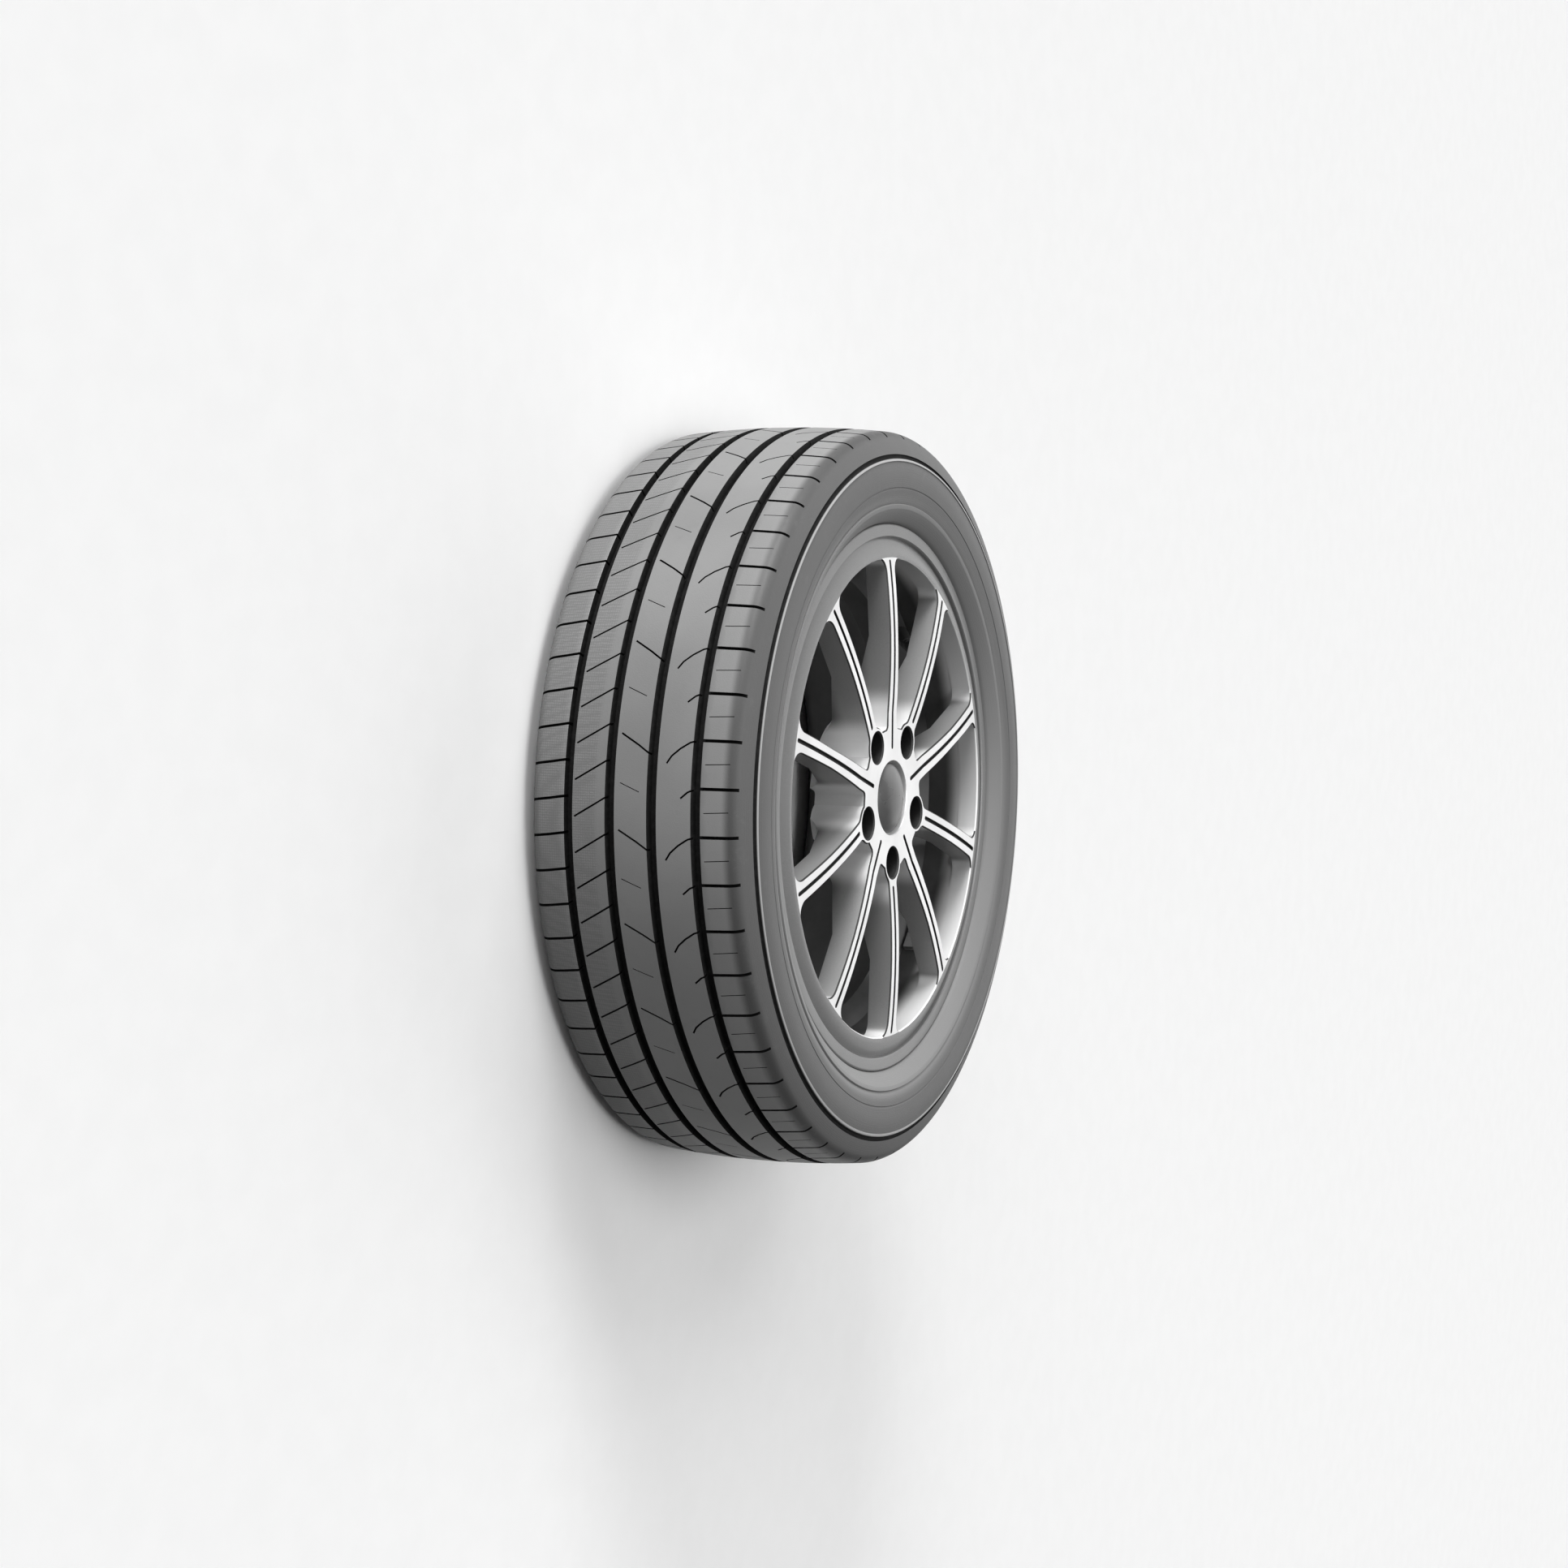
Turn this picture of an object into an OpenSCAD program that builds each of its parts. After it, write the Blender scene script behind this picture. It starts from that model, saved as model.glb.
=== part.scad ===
// Road wheel of a family car: a tubeless summer tyre on a ten-spoke cast alloy wheel,
// with its snap-in valve, clip-in centre cap and stick-on balance weights.
// The wheel axis is Z and the styled face looks along +Z.
// The origin is on the axis, midway across the tyre.

/* [Tyre] */
// Outside diameter over the crown of the tread
tyre_d = 637; // [624:1:650]
// Section width over the sidewalls
tyre_w = 199; // [196:1:204]
// Width of the tread between its two shoulder curves
tread_w = 164; // [156:1:170]
// How far the crown falls away from its middle to its edge
tread_drop = 4; // [2:0.5:6]
// Radius of the shoulder curve
shoulder_r = 12; // [10:0.5:14]
// Thickness from the face of the tread to the liner
crown_t = 15; // [12:0.5:18]
// Thickness of the sidewall at its widest
sidewall_t = 8; // [6:0.5:10]
// Height of the widest line of the sidewall above the rim flange
belly_h = 38; // [34:1:42]
// Width of the bead between its heel and its toe
bead_w = 20; // [16:0.5:20.5]
// Height that the rim protector stands out of the sidewall
protector_h = 1.5; // [0.8:0.1:2.5]
// Height of the rim protector above the top of the flange
protector_rise = 8; // [7:0.5:10]
// Depth of the styling line in the sidewall
line_depth = 1; // [0.6:0.1:1.5]
// Half width of the styling line at the face
line_w = 1.6; // [1:0.1:2]
// Drop of the styling line below the crown
line_drop = 25.5; // [22:0.5:30]

/* [Tread pattern] */
// Width of the four round grooves at the face
groove_w = 7.5; // [6:0.1:9]
// Depth of the four round grooves
groove_depth = 7.5; // [6:0.1:8.5]
// Distance of the two middle grooves from the middle of the tread
groove_in_z = 18.5; // [16:0.5:21]
// Distance of the two outer grooves from the middle of the tread
groove_out_z = 56.5; // [54:0.5:59]
// Number of blocks round the outboard shoulder
outboard_pitches = 52; // [44:2:60]
// Number of blocks round the inboard shoulder
inboard_pitches = 68; // [56:2:76]
// Width of the cross slots of the shoulders
slot_w = 2.6; // [2:0.1:4]
// Width of the sipes
sipe_w = 1.5; // [1:0.1:2.2]
// Depth of the cross slots below the crown
slot_depth = 9.2; // [8:0.1:10]
// Depth of the sipes below the crown
sipe_depth = 5.5; // [4:0.1:7]
// Turn of the outboard pattern about the axis
outboard_turn = 1.1; // [-4:0.1:4]
// Turn of the inboard pattern about the axis
inboard_turn = 1.1; // [-4:0.1:4]

/* [Rim] */
// Diameter of the bead seats
rim_d = 436.6; // [430:0.1:444]
// Width between the flanges
rim_w = 152.4; // [147:0.1:158]
// Height of the flanges above the bead seat
flange_h = 17.5; // [16:0.1:19]
// Thickness of the flanges along the axis
flange_t = 11.5; // [10.5:0.1:12.5]
// Radius of the flange on the side of the tyre
flange_r = 9.5; // [8:0.1:10]
// Radius between the flange and the bead seat
heel_r = 6.5; // [5:0.1:7]
// Width of the bead seats
seat_w = 21; // [21:0.1:24]
// Height of the safety humps
hump_h = 1.5; // [1:0.1:2]
// Depth of the well below the bead seat
well_depth = 18.3; // [16:0.1:21]
// Far edge of the well from the middle of the rim
well_in_z = 5; // [0:0.5:10]
// Near edge of the well from the middle of the rim
well_out_z = 25; // [23:0.5:27]
// Thickness of the barrel
barrel_t = 6; // [5:0.1:7]
// Width of the lip round the styled face
lip_w = 12; // [10:0.5:13]
// Step from the lip down to the foot of the ring's slope
lip_step = 3.5; // [2:0.1:5]
// Height of the ring above the lip, at the windows
ring_rise = 2.5; // [1:0.1:4]
// Width of the ring at the spokes' ends
ring_w = 17; // [15:0.5:18]

/* [Spokes] */
// Height of the mounting face above the middle of the rim
mount_z = 46; // [42:0.5:48]
// Thickness of the hub along the axis
hub_t = 46; // [43:0.5:48]
// Width of a spoke halfway out
spoke_w = 17; // [15:0.5:19]
// Width of a spoke where it meets the ring
spoke_end_w = 19; // [17:0.5:22]
// Depth of a spoke along the axis, at the ring
spoke_t = 18; // [15:0.5:22]
// Depth of a spoke along the axis, where it leaves the hub
spoke_root_t = 30; // [26:0.5:34]
// Height that the spokes bulge between the hub and the ring
spoke_crown = 3; // [1:0.5:5]
// Width of the channel along each spoke
channel_w = 3.2; // [2.4:0.1:5]
// Depth of the channel along each spoke
channel_depth = 3; // [2:0.1:5]
// Width of the lightening channel behind each spoke
back_channel_w = 8; // [6:0.5:9]
// Depth of the lightening channel behind each spoke
back_channel_depth = 6; // [4:0.5:8]
// Radius at which the windows end, at the hub
window_in_r = 60; // [58:0.5:64]
// Radius of the windows' outer corners
window_corner_r = 11; // [8:0.5:14]

/* [Hub] */
// Number of wheel bolts
bolt_count = 5; // [5]
// Diameter of the bolt circle
bolt_circle_d = 112; // [110:0.5:114]
// Diameter of the bolt holes
bolt_hole_d = 15; // [14.2:0.1:16]
// Diameter of the bolt head pockets
pocket_d = 27; // [25:0.5:28]
// Thickness of the hub left below the bolt seats
bolt_land = 14; // [10:0.5:16]
// Wall round the bolt head pockets
pocket_wall = 4; // [3:0.5:5]
// Diameter of the mounting pad
pad_d = 148; // [144:1:152]
// Diameter of the centre bore
centre_bore_d = 57.1; // [56:0.1:58]
// Length of the centre bore
centre_bore_l = 15; // [10:0.5:18]
// Diameter of the lightening pockets in the mounting pad
relief_d = 16; // [12:0.5:18]
// Depth of the lightening pockets in the mounting pad
relief_depth = 12; // [6:0.5:16]

/* [Centre cap] */
// Diameter of the cap
cap_d = 61; // [60:0.5:62]
// Height of the cap's dome
cap_dome_h = 9; // [6:0.5:11]
// Thickness of the cap's edge
cap_edge_t = 3; // [2:0.1:4]
// Wall of the cap
cap_wall = 2; // [1.6:0.1:2.4]
// Diameter of the bore that the cap clips into
cap_bore_d = 52; // [50:0.5:53]
// Length of the bore that the cap clips into
cap_bore_l = 12; // [10:0.5:14]
// Depth of the cap's seat below the hub's face
cap_seat_depth = 6; // [5:0.5:8]
// Number of clip legs
clip_count = 8; // [6:1:10]
// Diameter of the wire of the spring ring
spring_wire_d = 1.8; // [1.4:0.1:2.2]

/* [Valve] */
// Turn of the valve about the wheel axis
valve_turn = 42; // [40:0.5:44]
// Diameter of the valve hole
valve_hole_d = 11.4; // [11.2:0.1:12.4]
// Diameter of the valve's foot
valve_foot_d = 17; // [16:0.5:19]
// Length of the rubber body beyond the barrel
valve_body_l = 20; // [16:0.5:22]
// Diameter of the brass stem
stem_d = 7.7; // [7.4:0.1:8]
// Length of the brass stem beyond the rubber
stem_l = 10; // [8:0.5:12]
// Outside diameter of the valve cap
valve_cap_d = 9.6; // [9.4:0.1:10.6]
// Distance of the valve from the middle of its slope, towards the well
valve_shift = 3; // [2:0.5:4]

/* [Balance weights] */
// Number of weights
weight_count = 2; // [1:1:2]
// Turn of the first weight about the wheel axis
weight_turn = -47; // [-48:0.5:-45]
// Length of a weight along the rim
weight_l = 17; // [14:0.5:18]
// Width of a weight
weight_w = 19; // [14:0.5:20]
// Thickness of a weight
weight_t = 4; // [2.5:0.1:5]
// Thickness of the tape
tape_t = 0.8; // [0.5:0.1:1.2]
// Distance of the weights below the edge of the ring
weight_drop = 27; // [24:0.5:27]

/* [Fits] */
// Gap between the tyre and the rim
bead_gap = 0.2; // [0.1:0.05:0.4]
// Gap round the cap and the valve parts
small_gap = 0.1; // [0.05:0.05:0.2]
// Gap between the valve's rubber body and the curved barrel
valve_seat_gap = 0.3; // [0.25:0.05:0.5]

/* [Hidden] */
$fn = 96;

// Places that follow from the sizes
tyre_r = tyre_d / 2;
tyre_hw = tyre_w / 2;
seat_r = rim_d / 2;
rim_hw = rim_w / 2;
flange_top_r = seat_r + flange_h;
lip_z = rim_hw + flange_t;
belly_r = flange_top_r + belly_h;
seat_in_r = seat_r - (seat_w - heel_r) * tan(5);
hump_run = 10;
well_r = seat_r - well_depth;
leg_r = seat_in_r - 5;
ring_z = lip_z + ring_rise;
window_r = flange_top_r - lip_w - ring_w;
hub_z = mount_z + hub_t;
lug_r = bolt_circle_d / 2;
lug_step = 360 / bolt_count;
spoke_step = lug_step / 2;
first_lug = -90;
boss_r = pocket_d / 2 + pocket_wall;
cap_seat_z = hub_z - cap_seat_depth;
cap_ledge_z = cap_seat_z - cap_bore_l;

// The slope between the outboard seat and the well carries the valve
slope_top = [seat_in_r, rim_hw - seat_w - hump_run];
slope_foot = [well_r, well_out_z];
slope_l = norm(slope_top - slope_foot);
slope_run = (slope_top - slope_foot) / slope_l;
slope_normal = [-slope_run[1], slope_run[0]];
slope_mid = (slope_top + slope_foot) / 2;
valve_tilt = -acos(slope_normal[1]);
valve_point = slope_mid - valve_shift * slope_run;

// Points of an arc in the plane of radius and height
function arc(centre, r, a0, a1, n) =
    [for (i = [0:n]) centre + r * [cos(a0 + (a1 - a0) * i / n), sin(a0 + (a1 - a0) * i / n)]];

// Points of a smooth curve from a to c that leans towards b, without its first point
function lean(a, b, c, n) =
    [for (i = [1:n]) let (t = i / n) (1 - t) * (1 - t) * a + 2 * t * (1 - t) * b + t * t * c];

// The same outline on the other side of the middle plane, in reverse order
function far_side(pts) = [for (i = [len(pts) - 1:-1:0]) [pts[i][0], -pts[i][1]]];

// Radius of the crown at a distance from the middle of the tread
function crown_at(z) = tyre_r - tread_drop * pow(z / (tread_w / 2), 2);

// Outline of a strip of even width along a line of points
function strip_normal(p, i) =
    let (a = p[max(i - 1, 0)], b = p[min(i + 1, len(p) - 1)], d = (b - a) / norm(b - a)) [-d[1], d[0]];
function strip(p, w) = concat(
    [for (i = [0:len(p) - 1]) p[i] + strip_normal(p, i) * w / 2],
    [for (i = [len(p) - 1:-1:0]) p[i] - strip_normal(p, i) * w / 2]);

// Arc that rounds the corner b between a and c
function corner(a, b, c, r, n) =
    let (u = (a - b) / norm(a - b), v = (c - b) / norm(c - b),
        half = acos(u * v) / 2, m = (u + v) / norm(u + v),
        o = b + m * r / sin(half), s = b + u * r / tan(half), e = b + v * r / tan(half),
        a0 = atan2(s[1] - o[1], s[0] - o[0]), a1 = atan2(e[1] - o[1], e[0] - o[0]),
        turn = a1 - a0 > 180 ? a1 - a0 - 360 : a1 - a0 < -180 ? a1 - a0 + 360 : a1 - a0)
    arc(o, r, a0, a0 + turn, n);

// Tyre: half of the outer outline, from the crown to the toe of the bead
edge_slope = atan(2 * tread_drop / (tread_w / 2));
shoulder_c = [crown_at(tread_w / 2), tread_w / 2] - shoulder_r * [cos(edge_slope), sin(edge_slope)];
shoulder_end = 68;
shoulder_foot = shoulder_c + shoulder_r * [cos(shoulder_end), sin(shoulder_end)];
protector_r = flange_top_r + protector_rise;
protector_z = lip_z + 0.7 * (tyre_hw - lip_z);
wall_foot_run = (tyre_hw - shoulder_foot[1]) * tan(shoulder_end);
wall_bend_r = max(belly_r + 3, shoulder_foot[0] - max(3, wall_foot_run));
upper_wall = concat([shoulder_foot], lean(shoulder_foot, [wall_bend_r, tyre_hw], [belly_r, tyre_hw], 6));
flange_c = [flange_top_r - flange_r, rim_hw + flange_r];
heel_c = [seat_r + heel_r, rim_hw - heel_r];
toe = [seat_in_r + bead_gap, rim_hw - bead_w];
tyre_outer = concat(
    [[crown_at(groove_in_z), groove_in_z], [crown_at(groove_out_z), groove_out_z]],
    arc(shoulder_c, shoulder_r, edge_slope, shoulder_end - 13, 4),
    upper_wall,
    lean([belly_r, tyre_hw], [protector_r + 14, tyre_hw], [protector_r + 9, protector_z], 4),
    [[protector_r + 8, protector_z + protector_h], [protector_r + 5, protector_z + protector_h - 0.5],
     [flange_top_r + 3, lip_z + 2.5], [flange_top_r + 1.5, lip_z + 1]],
    arc(flange_c, flange_r + bead_gap, 0, -90, 5),
    arc(heel_c, heel_r - bead_gap, 90, 180, 3),
    [toe]);

// Tyre: half of the liner, from the toe of the bead to the crown
liner_r = tyre_r - crown_t;
liner_tuck = 1;
liner_belly = [belly_r, tyre_hw - sidewall_t];
liner_shoulder = [liner_r, min(tyre_hw - sidewall_t, lookup(liner_r, upper_wall) - liner_tuck)];
tyre_inner = concat(
    [toe + [3, -1]],
    lean(toe + [3, -1], [toe[0] + 16, toe[1] + 22], liner_belly, 6),
    lean(liner_belly, liner_shoulder, [liner_r, tread_w / 2 - 12], 6));

tyre_half = concat(tyre_outer, tyre_inner);

// A round groove of the tread, narrower at its floor
module groove_section(z) {
    floor_w = groove_w * 0.7;
    top = tyre_r + 1;
    floor_r = crown_at(z) - groove_depth;
    polygon([[floor_r, z - floor_w / 2], [top, z - groove_w / 2 - 0.2], [top, z + groove_w / 2 + 0.2],
        [floor_r, z + floor_w / 2]]);
}

// The styling line round the upper sidewall
module line_section(side) {
    r = tyre_r - line_drop;
    floor_z = lookup(r, upper_wall) - line_depth;
    top_z = max(tyre_hw, shoulder_foot[1]) + 1;
    polygon([[r - line_w, side * top_z], [r + line_w, side * top_z],
        [r + line_w / 2, side * floor_z], [r - line_w / 2, side * floor_z]]);
}

// A cut from the face of the tread down to a depth, its outline in turn length and height
module tread_cut(turn, depth) {
    rotate([0, 0, turn]) translate([tyre_r - depth, 0, 0])
        rotate([90, 0, 90]) linear_extrude(depth + 2) children();
}

// Slots and sipes of the outboard half; the long and short forms take turns
module outboard_cuts() {
    step = 360 / outboard_pitches;
    inner = groove_out_z + groove_w / 2 - 1;
    for (i = [0:outboard_pitches - 1])
        tread_cut(outboard_turn + i * step, slot_depth)
            polygon(strip([[0, inner], [0, tyre_hw]], slot_w));
    for (i = [0:2:outboard_pitches - 1]) {
        tread_cut(outboard_turn + i * step, sipe_depth)
            polygon(strip([[19, groove_in_z + 12], [8, groove_in_z + 22], [0, groove_out_z]], sipe_w));
        tread_cut(outboard_turn + i * step, sipe_depth)
            polygon(strip([[-4, -groove_in_z + 8], [14, groove_in_z]], sipe_w));
    }
    for (i = [1:2:outboard_pitches - 1]) {
        tread_cut(outboard_turn + i * step, sipe_depth)
            polygon(strip([[8, groove_in_z + 25], [0, groove_out_z]], sipe_w));
        tread_cut(outboard_turn + i * step, sipe_depth)
            polygon(strip([[-3, -groove_in_z + 9], [4, groove_in_z - 11]], sipe_w));
    }
}

// Slots and sipes of the inboard half
module inboard_cuts() {
    step = 360 / inboard_pitches;
    inner = groove_out_z + groove_w / 2 - 1;
    for (i = [0:inboard_pitches - 1]) {
        tread_cut(inboard_turn + i * step, slot_depth)
            polygon(strip([[0, -inner], [5, -tyre_hw]], slot_w - 0.4));
        tread_cut(inboard_turn + i * step, sipe_depth)
            polygon(strip([[-2, -groove_in_z], [16, -groove_out_z + 6]], sipe_w));
    }
}

module tyre() {
    color([0.13, 0.13, 0.135])
        difference() {
            rotate_extrude()
                difference() {
                    polygon(concat(tyre_half, far_side(tyre_half)));
                    for (z = [-groove_out_z, -groove_in_z, groove_in_z, groove_out_z]) groove_section(z);
                    for (side = [-1, 1]) line_section(side);
                }
            outboard_cuts();
            inboard_cuts();
        }
}

// Wheel: half of the rim's outline on the side of the tyre, from the lip to the hump
rim_outer = concat(
    [[flange_top_r - 2, lip_z], [flange_top_r, lip_z - 2]],
    arc(flange_c, flange_r, 0, -90, 6),
    arc(heel_c, heel_r, 90, 180, 4),
    [[seat_in_r, rim_hw - seat_w],
     [seat_in_r + hump_h, rim_hw - seat_w - hump_run * 0.4],
     [seat_in_r + hump_h, rim_hw - seat_w - hump_run * 0.6], slope_top]);

// Wheel: section of the whole barrel with its two flanges
slope_inner = slope_mid + slope_normal * barrel_t;
function on_slope(r) = [r, slope_inner[1] + (r - slope_inner[0]) * slope_run[1] / slope_run[0]];
rim_section = concat(
    rim_outer,
    [slope_foot, [well_r, well_in_z], [leg_r, well_in_z - 17]],
    [for (p = far_side(rim_outer)) p],
    [[flange_top_r - 6, -lip_z], [flange_top_r - 11, -lip_z + 4], [seat_r - barrel_t + 1, -rim_hw + 4],
     [leg_r - barrel_t, -rim_hw + seat_w + hump_run], [leg_r - barrel_t, well_in_z - 20],
     [well_r - barrel_t, well_in_z - 1], on_slope(well_r - barrel_t), on_slope(window_r),
     [window_r, ring_z], [window_r + 5, ring_z], [flange_top_r - lip_w, lip_z - lip_step],
     [flange_top_r - lip_w + 1, lip_z]]);

// Wheel: line of the styled face, from the hub to inside the ring
mid_r = (pad_d / 2 + window_r) / 2;
face_line = concat(
    [[cap_d / 2, hub_z], [pad_d / 2, hub_z + 0.5]],
    lean([pad_d / 2, hub_z + 0.5], [mid_r, max(hub_z, ring_z) + 2 * spoke_crown], [window_r, ring_z], 4),
    [[window_r + 5, ring_z]]);

// Wheel: line of the spokes' backs, from inside the ring to the mounting pad
back_line = [[window_r + 5, ring_z - spoke_t], [window_r - 8, ring_z - spoke_t],
    [mid_r, ring_z - spoke_t + 2], [pad_d / 2 + 18, hub_z - spoke_root_t], [pad_d / 2 + 4, mount_z + 6],
    [pad_d / 2, mount_z + 2], [pad_d / 2 - 2, mount_z]];

module disc_section() {
    polygon(concat([[cap_bore_d / 4, hub_z]], face_line, back_line, [[cap_bore_d / 4, mount_z]]));
}

// A point beside a spoke: along it, and off its middle line towards the window's middle
half_step = spoke_step / 2;
function beside(along, off, side) =
    along * [cos(half_step), side * sin(half_step)] + off * [sin(half_step), -side * cos(half_step)];

// Outline of one window: its bolt spoke is on the side of larger angles
function window_points() =
    let (end_off = spoke_end_w / 2, mid_off = spoke_w / 2, edge_r = window_r + 0.3,
        reach = sqrt(edge_r * edge_r - end_off * end_off),
        bolt_out = beside(reach, end_off, 1), plain_out = beside(reach, end_off, -1),
        bolt_mid = beside(mid_r, mid_off, 1), plain_mid = beside(mid_r, mid_off, -1),
        bolt_in = beside(lug_r + boss_r - 2, mid_off + 1, 1),
        inner = beside(window_in_r, mid_off + 1.5, -1),
        a0 = atan2(plain_out[1], plain_out[0]), a1 = -a0,
        rim = [for (k = [1:5]) edge_r * [cos(a0 + (a1 - a0) * k / 6), sin(a0 + (a1 - a0) * k / 6)]])
    concat(
        corner(plain_mid, plain_out, rim[0], window_corner_r, 5),
        [for (k = [0:4]) rim[k]],
        corner(rim[4], bolt_out, bolt_mid, window_corner_r, 5),
        [bolt_mid, bolt_in, beside(lug_r + 4, mid_off + 8, 1)],
        corner(bolt_in, inner, plain_mid, 4, 4),
        [plain_mid]);

// All the windows, kept clear of the bosses round the bolt pockets
module window_shapes() {
    difference() {
        for (k = [0:bolt_count - 1], side = [0, 1])
            rotate(first_lug + k * lug_step - half_step + side * spoke_step)
                mirror([0, side, 0]) polygon(window_points());
        bolt_places() circle(boss_r);
    }
}

module bolt_places() {
    for (k = [0:bolt_count - 1]) rotate(first_lug + k * lug_step) translate([lug_r, 0]) children();
}

// Channels along the styled side of the spokes
module face_channels() {
    intersection() {
        rotate_extrude()
            polygon(concat(
                [for (p = face_line) p + [0, 6]],
                [for (i = [len(face_line) - 1:-1:0]) face_line[i] - [0, channel_depth]]));
        linear_extrude(lip_z + 10)
            for (k = [0:bolt_count - 1], side = [0, 1])
                rotate(first_lug + k * lug_step + side * spoke_step)
                    translate([side == 0 ? lug_r + boss_r + 2 : cap_d / 2 + 12, -channel_w / 2])
                        square([side == 0 ? window_r - lug_r - boss_r - 2 : window_r - cap_d / 2 - 12, channel_w]);
    }
}

// Lightening channels in the backs of the spokes
module back_channels() {
    for (k = [0:2 * bolt_count - 1])
        rotate([0, 0, first_lug + k * spoke_step])
            translate([pad_d / 2 + 8, -back_channel_w / 2, 0])
                cube([window_r - pad_d / 2 - 22, back_channel_w, ring_z - spoke_t + back_channel_depth]);
}

// Pocket, seat and hole for one wheel bolt
module bolt_hole() {
    seat_top = mount_z + bolt_land;
    cone_h = (pocket_d - bolt_hole_d) / 2 * 0.8;
    translate([0, 0, mount_z - 1]) cylinder(h = hub_t, d = bolt_hole_d);
    translate([0, 0, seat_top]) cylinder(h = cone_h, d1 = bolt_hole_d, d2 = pocket_d);
    translate([0, 0, seat_top + cone_h]) cylinder(h = hub_t, d = pocket_d);
}

// Bores along the axis: the centre bore, the relief above it, the cap's bore and seat
module centre_bores() {
    relief_r = centre_bore_d / 2 + 0.8;
    seat_gap_r = cap_d / 2 + 1.6;
    translate([0, 0, mount_z - 1]) cylinder(h = centre_bore_l + 1, d = centre_bore_d);
    translate([0, 0, mount_z - 0.01]) cylinder(h = 1.5, r1 = centre_bore_d / 2 + 1.5, r2 = centre_bore_d / 2);
    translate([0, 0, mount_z + centre_bore_l]) cylinder(h = cap_ledge_z - mount_z - centre_bore_l, r = relief_r);
    translate([0, 0, cap_ledge_z - 1]) cylinder(h = hub_t, d = cap_bore_d);
    translate([0, 0, cap_seat_z]) cylinder(h = hub_t, r = seat_gap_r);
}

module valve_frame() {
    rotate([0, 0, valve_turn]) translate([valve_point[0], 0, valve_point[1]]) rotate([0, valve_tilt, 0]) children();
}

module wheel() {
    color([0.72, 0.72, 0.73])
        difference() {
            union() {
                rotate_extrude() polygon(rim_section);
                rotate_extrude() disc_section();
            }
            translate([0, 0, mount_z - 2])
                intersection() {
                    linear_extrude(hub_t + 20) window_shapes();
                    cylinder(h = hub_t + 20, r = window_r);
                }
            face_channels();
            back_channels();
            bolt_places() bolt_hole();
            centre_bores();
            for (k = [0:bolt_count - 1])
                rotate([0, 0, first_lug + (k + 0.5) * lug_step])
                    translate([lug_r, 0, mount_z - 1]) cylinder(h = relief_depth + 1, d = relief_d);
            valve_frame() translate([0, 0, -2]) cylinder(h = barrel_t + 4, d = valve_hole_d);
        }
}

// Centre cap: a domed disc with clip legs that hook under the ledge of the cap's bore
leg_r_out = cap_bore_d / 2 - 0.3;
leg_foot_z = cap_ledge_z - 4;
dome_r = (pow(cap_d / 2, 2) + pow(cap_dome_h, 2)) / (2 * cap_dome_h);
dome_z = cap_seat_z + cap_edge_t + cap_dome_h - dome_r;
dome_a = asin(cap_d / 2 / dome_r);
module centre_cap() {
    inner_r = leg_r_out - cap_wall;
    color([0.2, 0.2, 0.21])
        difference() {
            rotate_extrude()
                polygon(concat(
                    [for (k = [0:8]) let (a = dome_a * k / 8) [dome_r * sin(a), dome_z + dome_r * cos(a)]],
                    [[cap_d / 2, cap_seat_z], [leg_r_out, cap_seat_z], [leg_r_out, cap_ledge_z - 0.3],
                     [leg_r_out + 1.2, cap_ledge_z - 0.6], [leg_r_out, leg_foot_z], [inner_r, leg_foot_z],
                     [inner_r, cap_seat_z + cap_edge_t - cap_wall], [0, cap_seat_z + cap_edge_t + cap_dome_h - 2 * cap_wall]]));
            for (k = [0:clip_count - 1])
                rotate([0, 0, (k + 0.5) * 360 / clip_count])
                    translate([inner_r - 2, -2, leg_foot_z - 1]) cube([8, 4, cap_bore_l + 2]);
        }
}

// Sprung wire that presses the cap's legs outwards
module cap_spring_ring() {
    ring_r = leg_r_out - cap_wall - small_gap - spring_wire_d / 2;
    color([0.75, 0.75, 0.76])
        translate([0, 0, leg_foot_z + 3])
            rotate_extrude(angle = 340, start = 10) translate([ring_r, 0]) circle(d = spring_wire_d, $fn = 24);
}

// Valve sizes along its own axis, from the barrel's outer face
foot_t = 3.5;
neck_r = valve_hole_d / 2 - small_gap;
body_z = barrel_t + valve_seat_gap;
body_top = body_z + valve_body_l;
stem_r = stem_d / 2;
stem_top = body_top + stem_l;
stem_foot = -foot_t + 1;
core_r = 2.6;
core_l = 18;
core_foot = stem_top - 1 - core_l;

module valve_stem() {
    color([0.09, 0.09, 0.09])
        valve_frame()
            rotate_extrude()
                polygon([[stem_r, -foot_t], [valve_foot_d / 2 - 1.5, -foot_t], [valve_foot_d / 2, -1.5],
                    [valve_foot_d / 2, -small_gap], [neck_r, -small_gap], [neck_r, body_z], [neck_r + 1.8, body_z],
                    [neck_r + 1.6, body_z + 5], [stem_r + 1.6, body_top - 3], [stem_r + 1.2, body_top],
                    [stem_r, body_top]]);
}

module valve_insert() {
    color([0.72, 0.58, 0.28])
        valve_frame()
            difference() {
                translate([0, 0, stem_foot]) cylinder(h = stem_top - stem_foot, r = stem_r);
                translate([0, 0, stem_foot - 1]) cylinder(h = stem_top, r = 1.6);
                translate([0, 0, core_foot]) cylinder(h = core_l + 2, r = core_r);
            }
}

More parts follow.
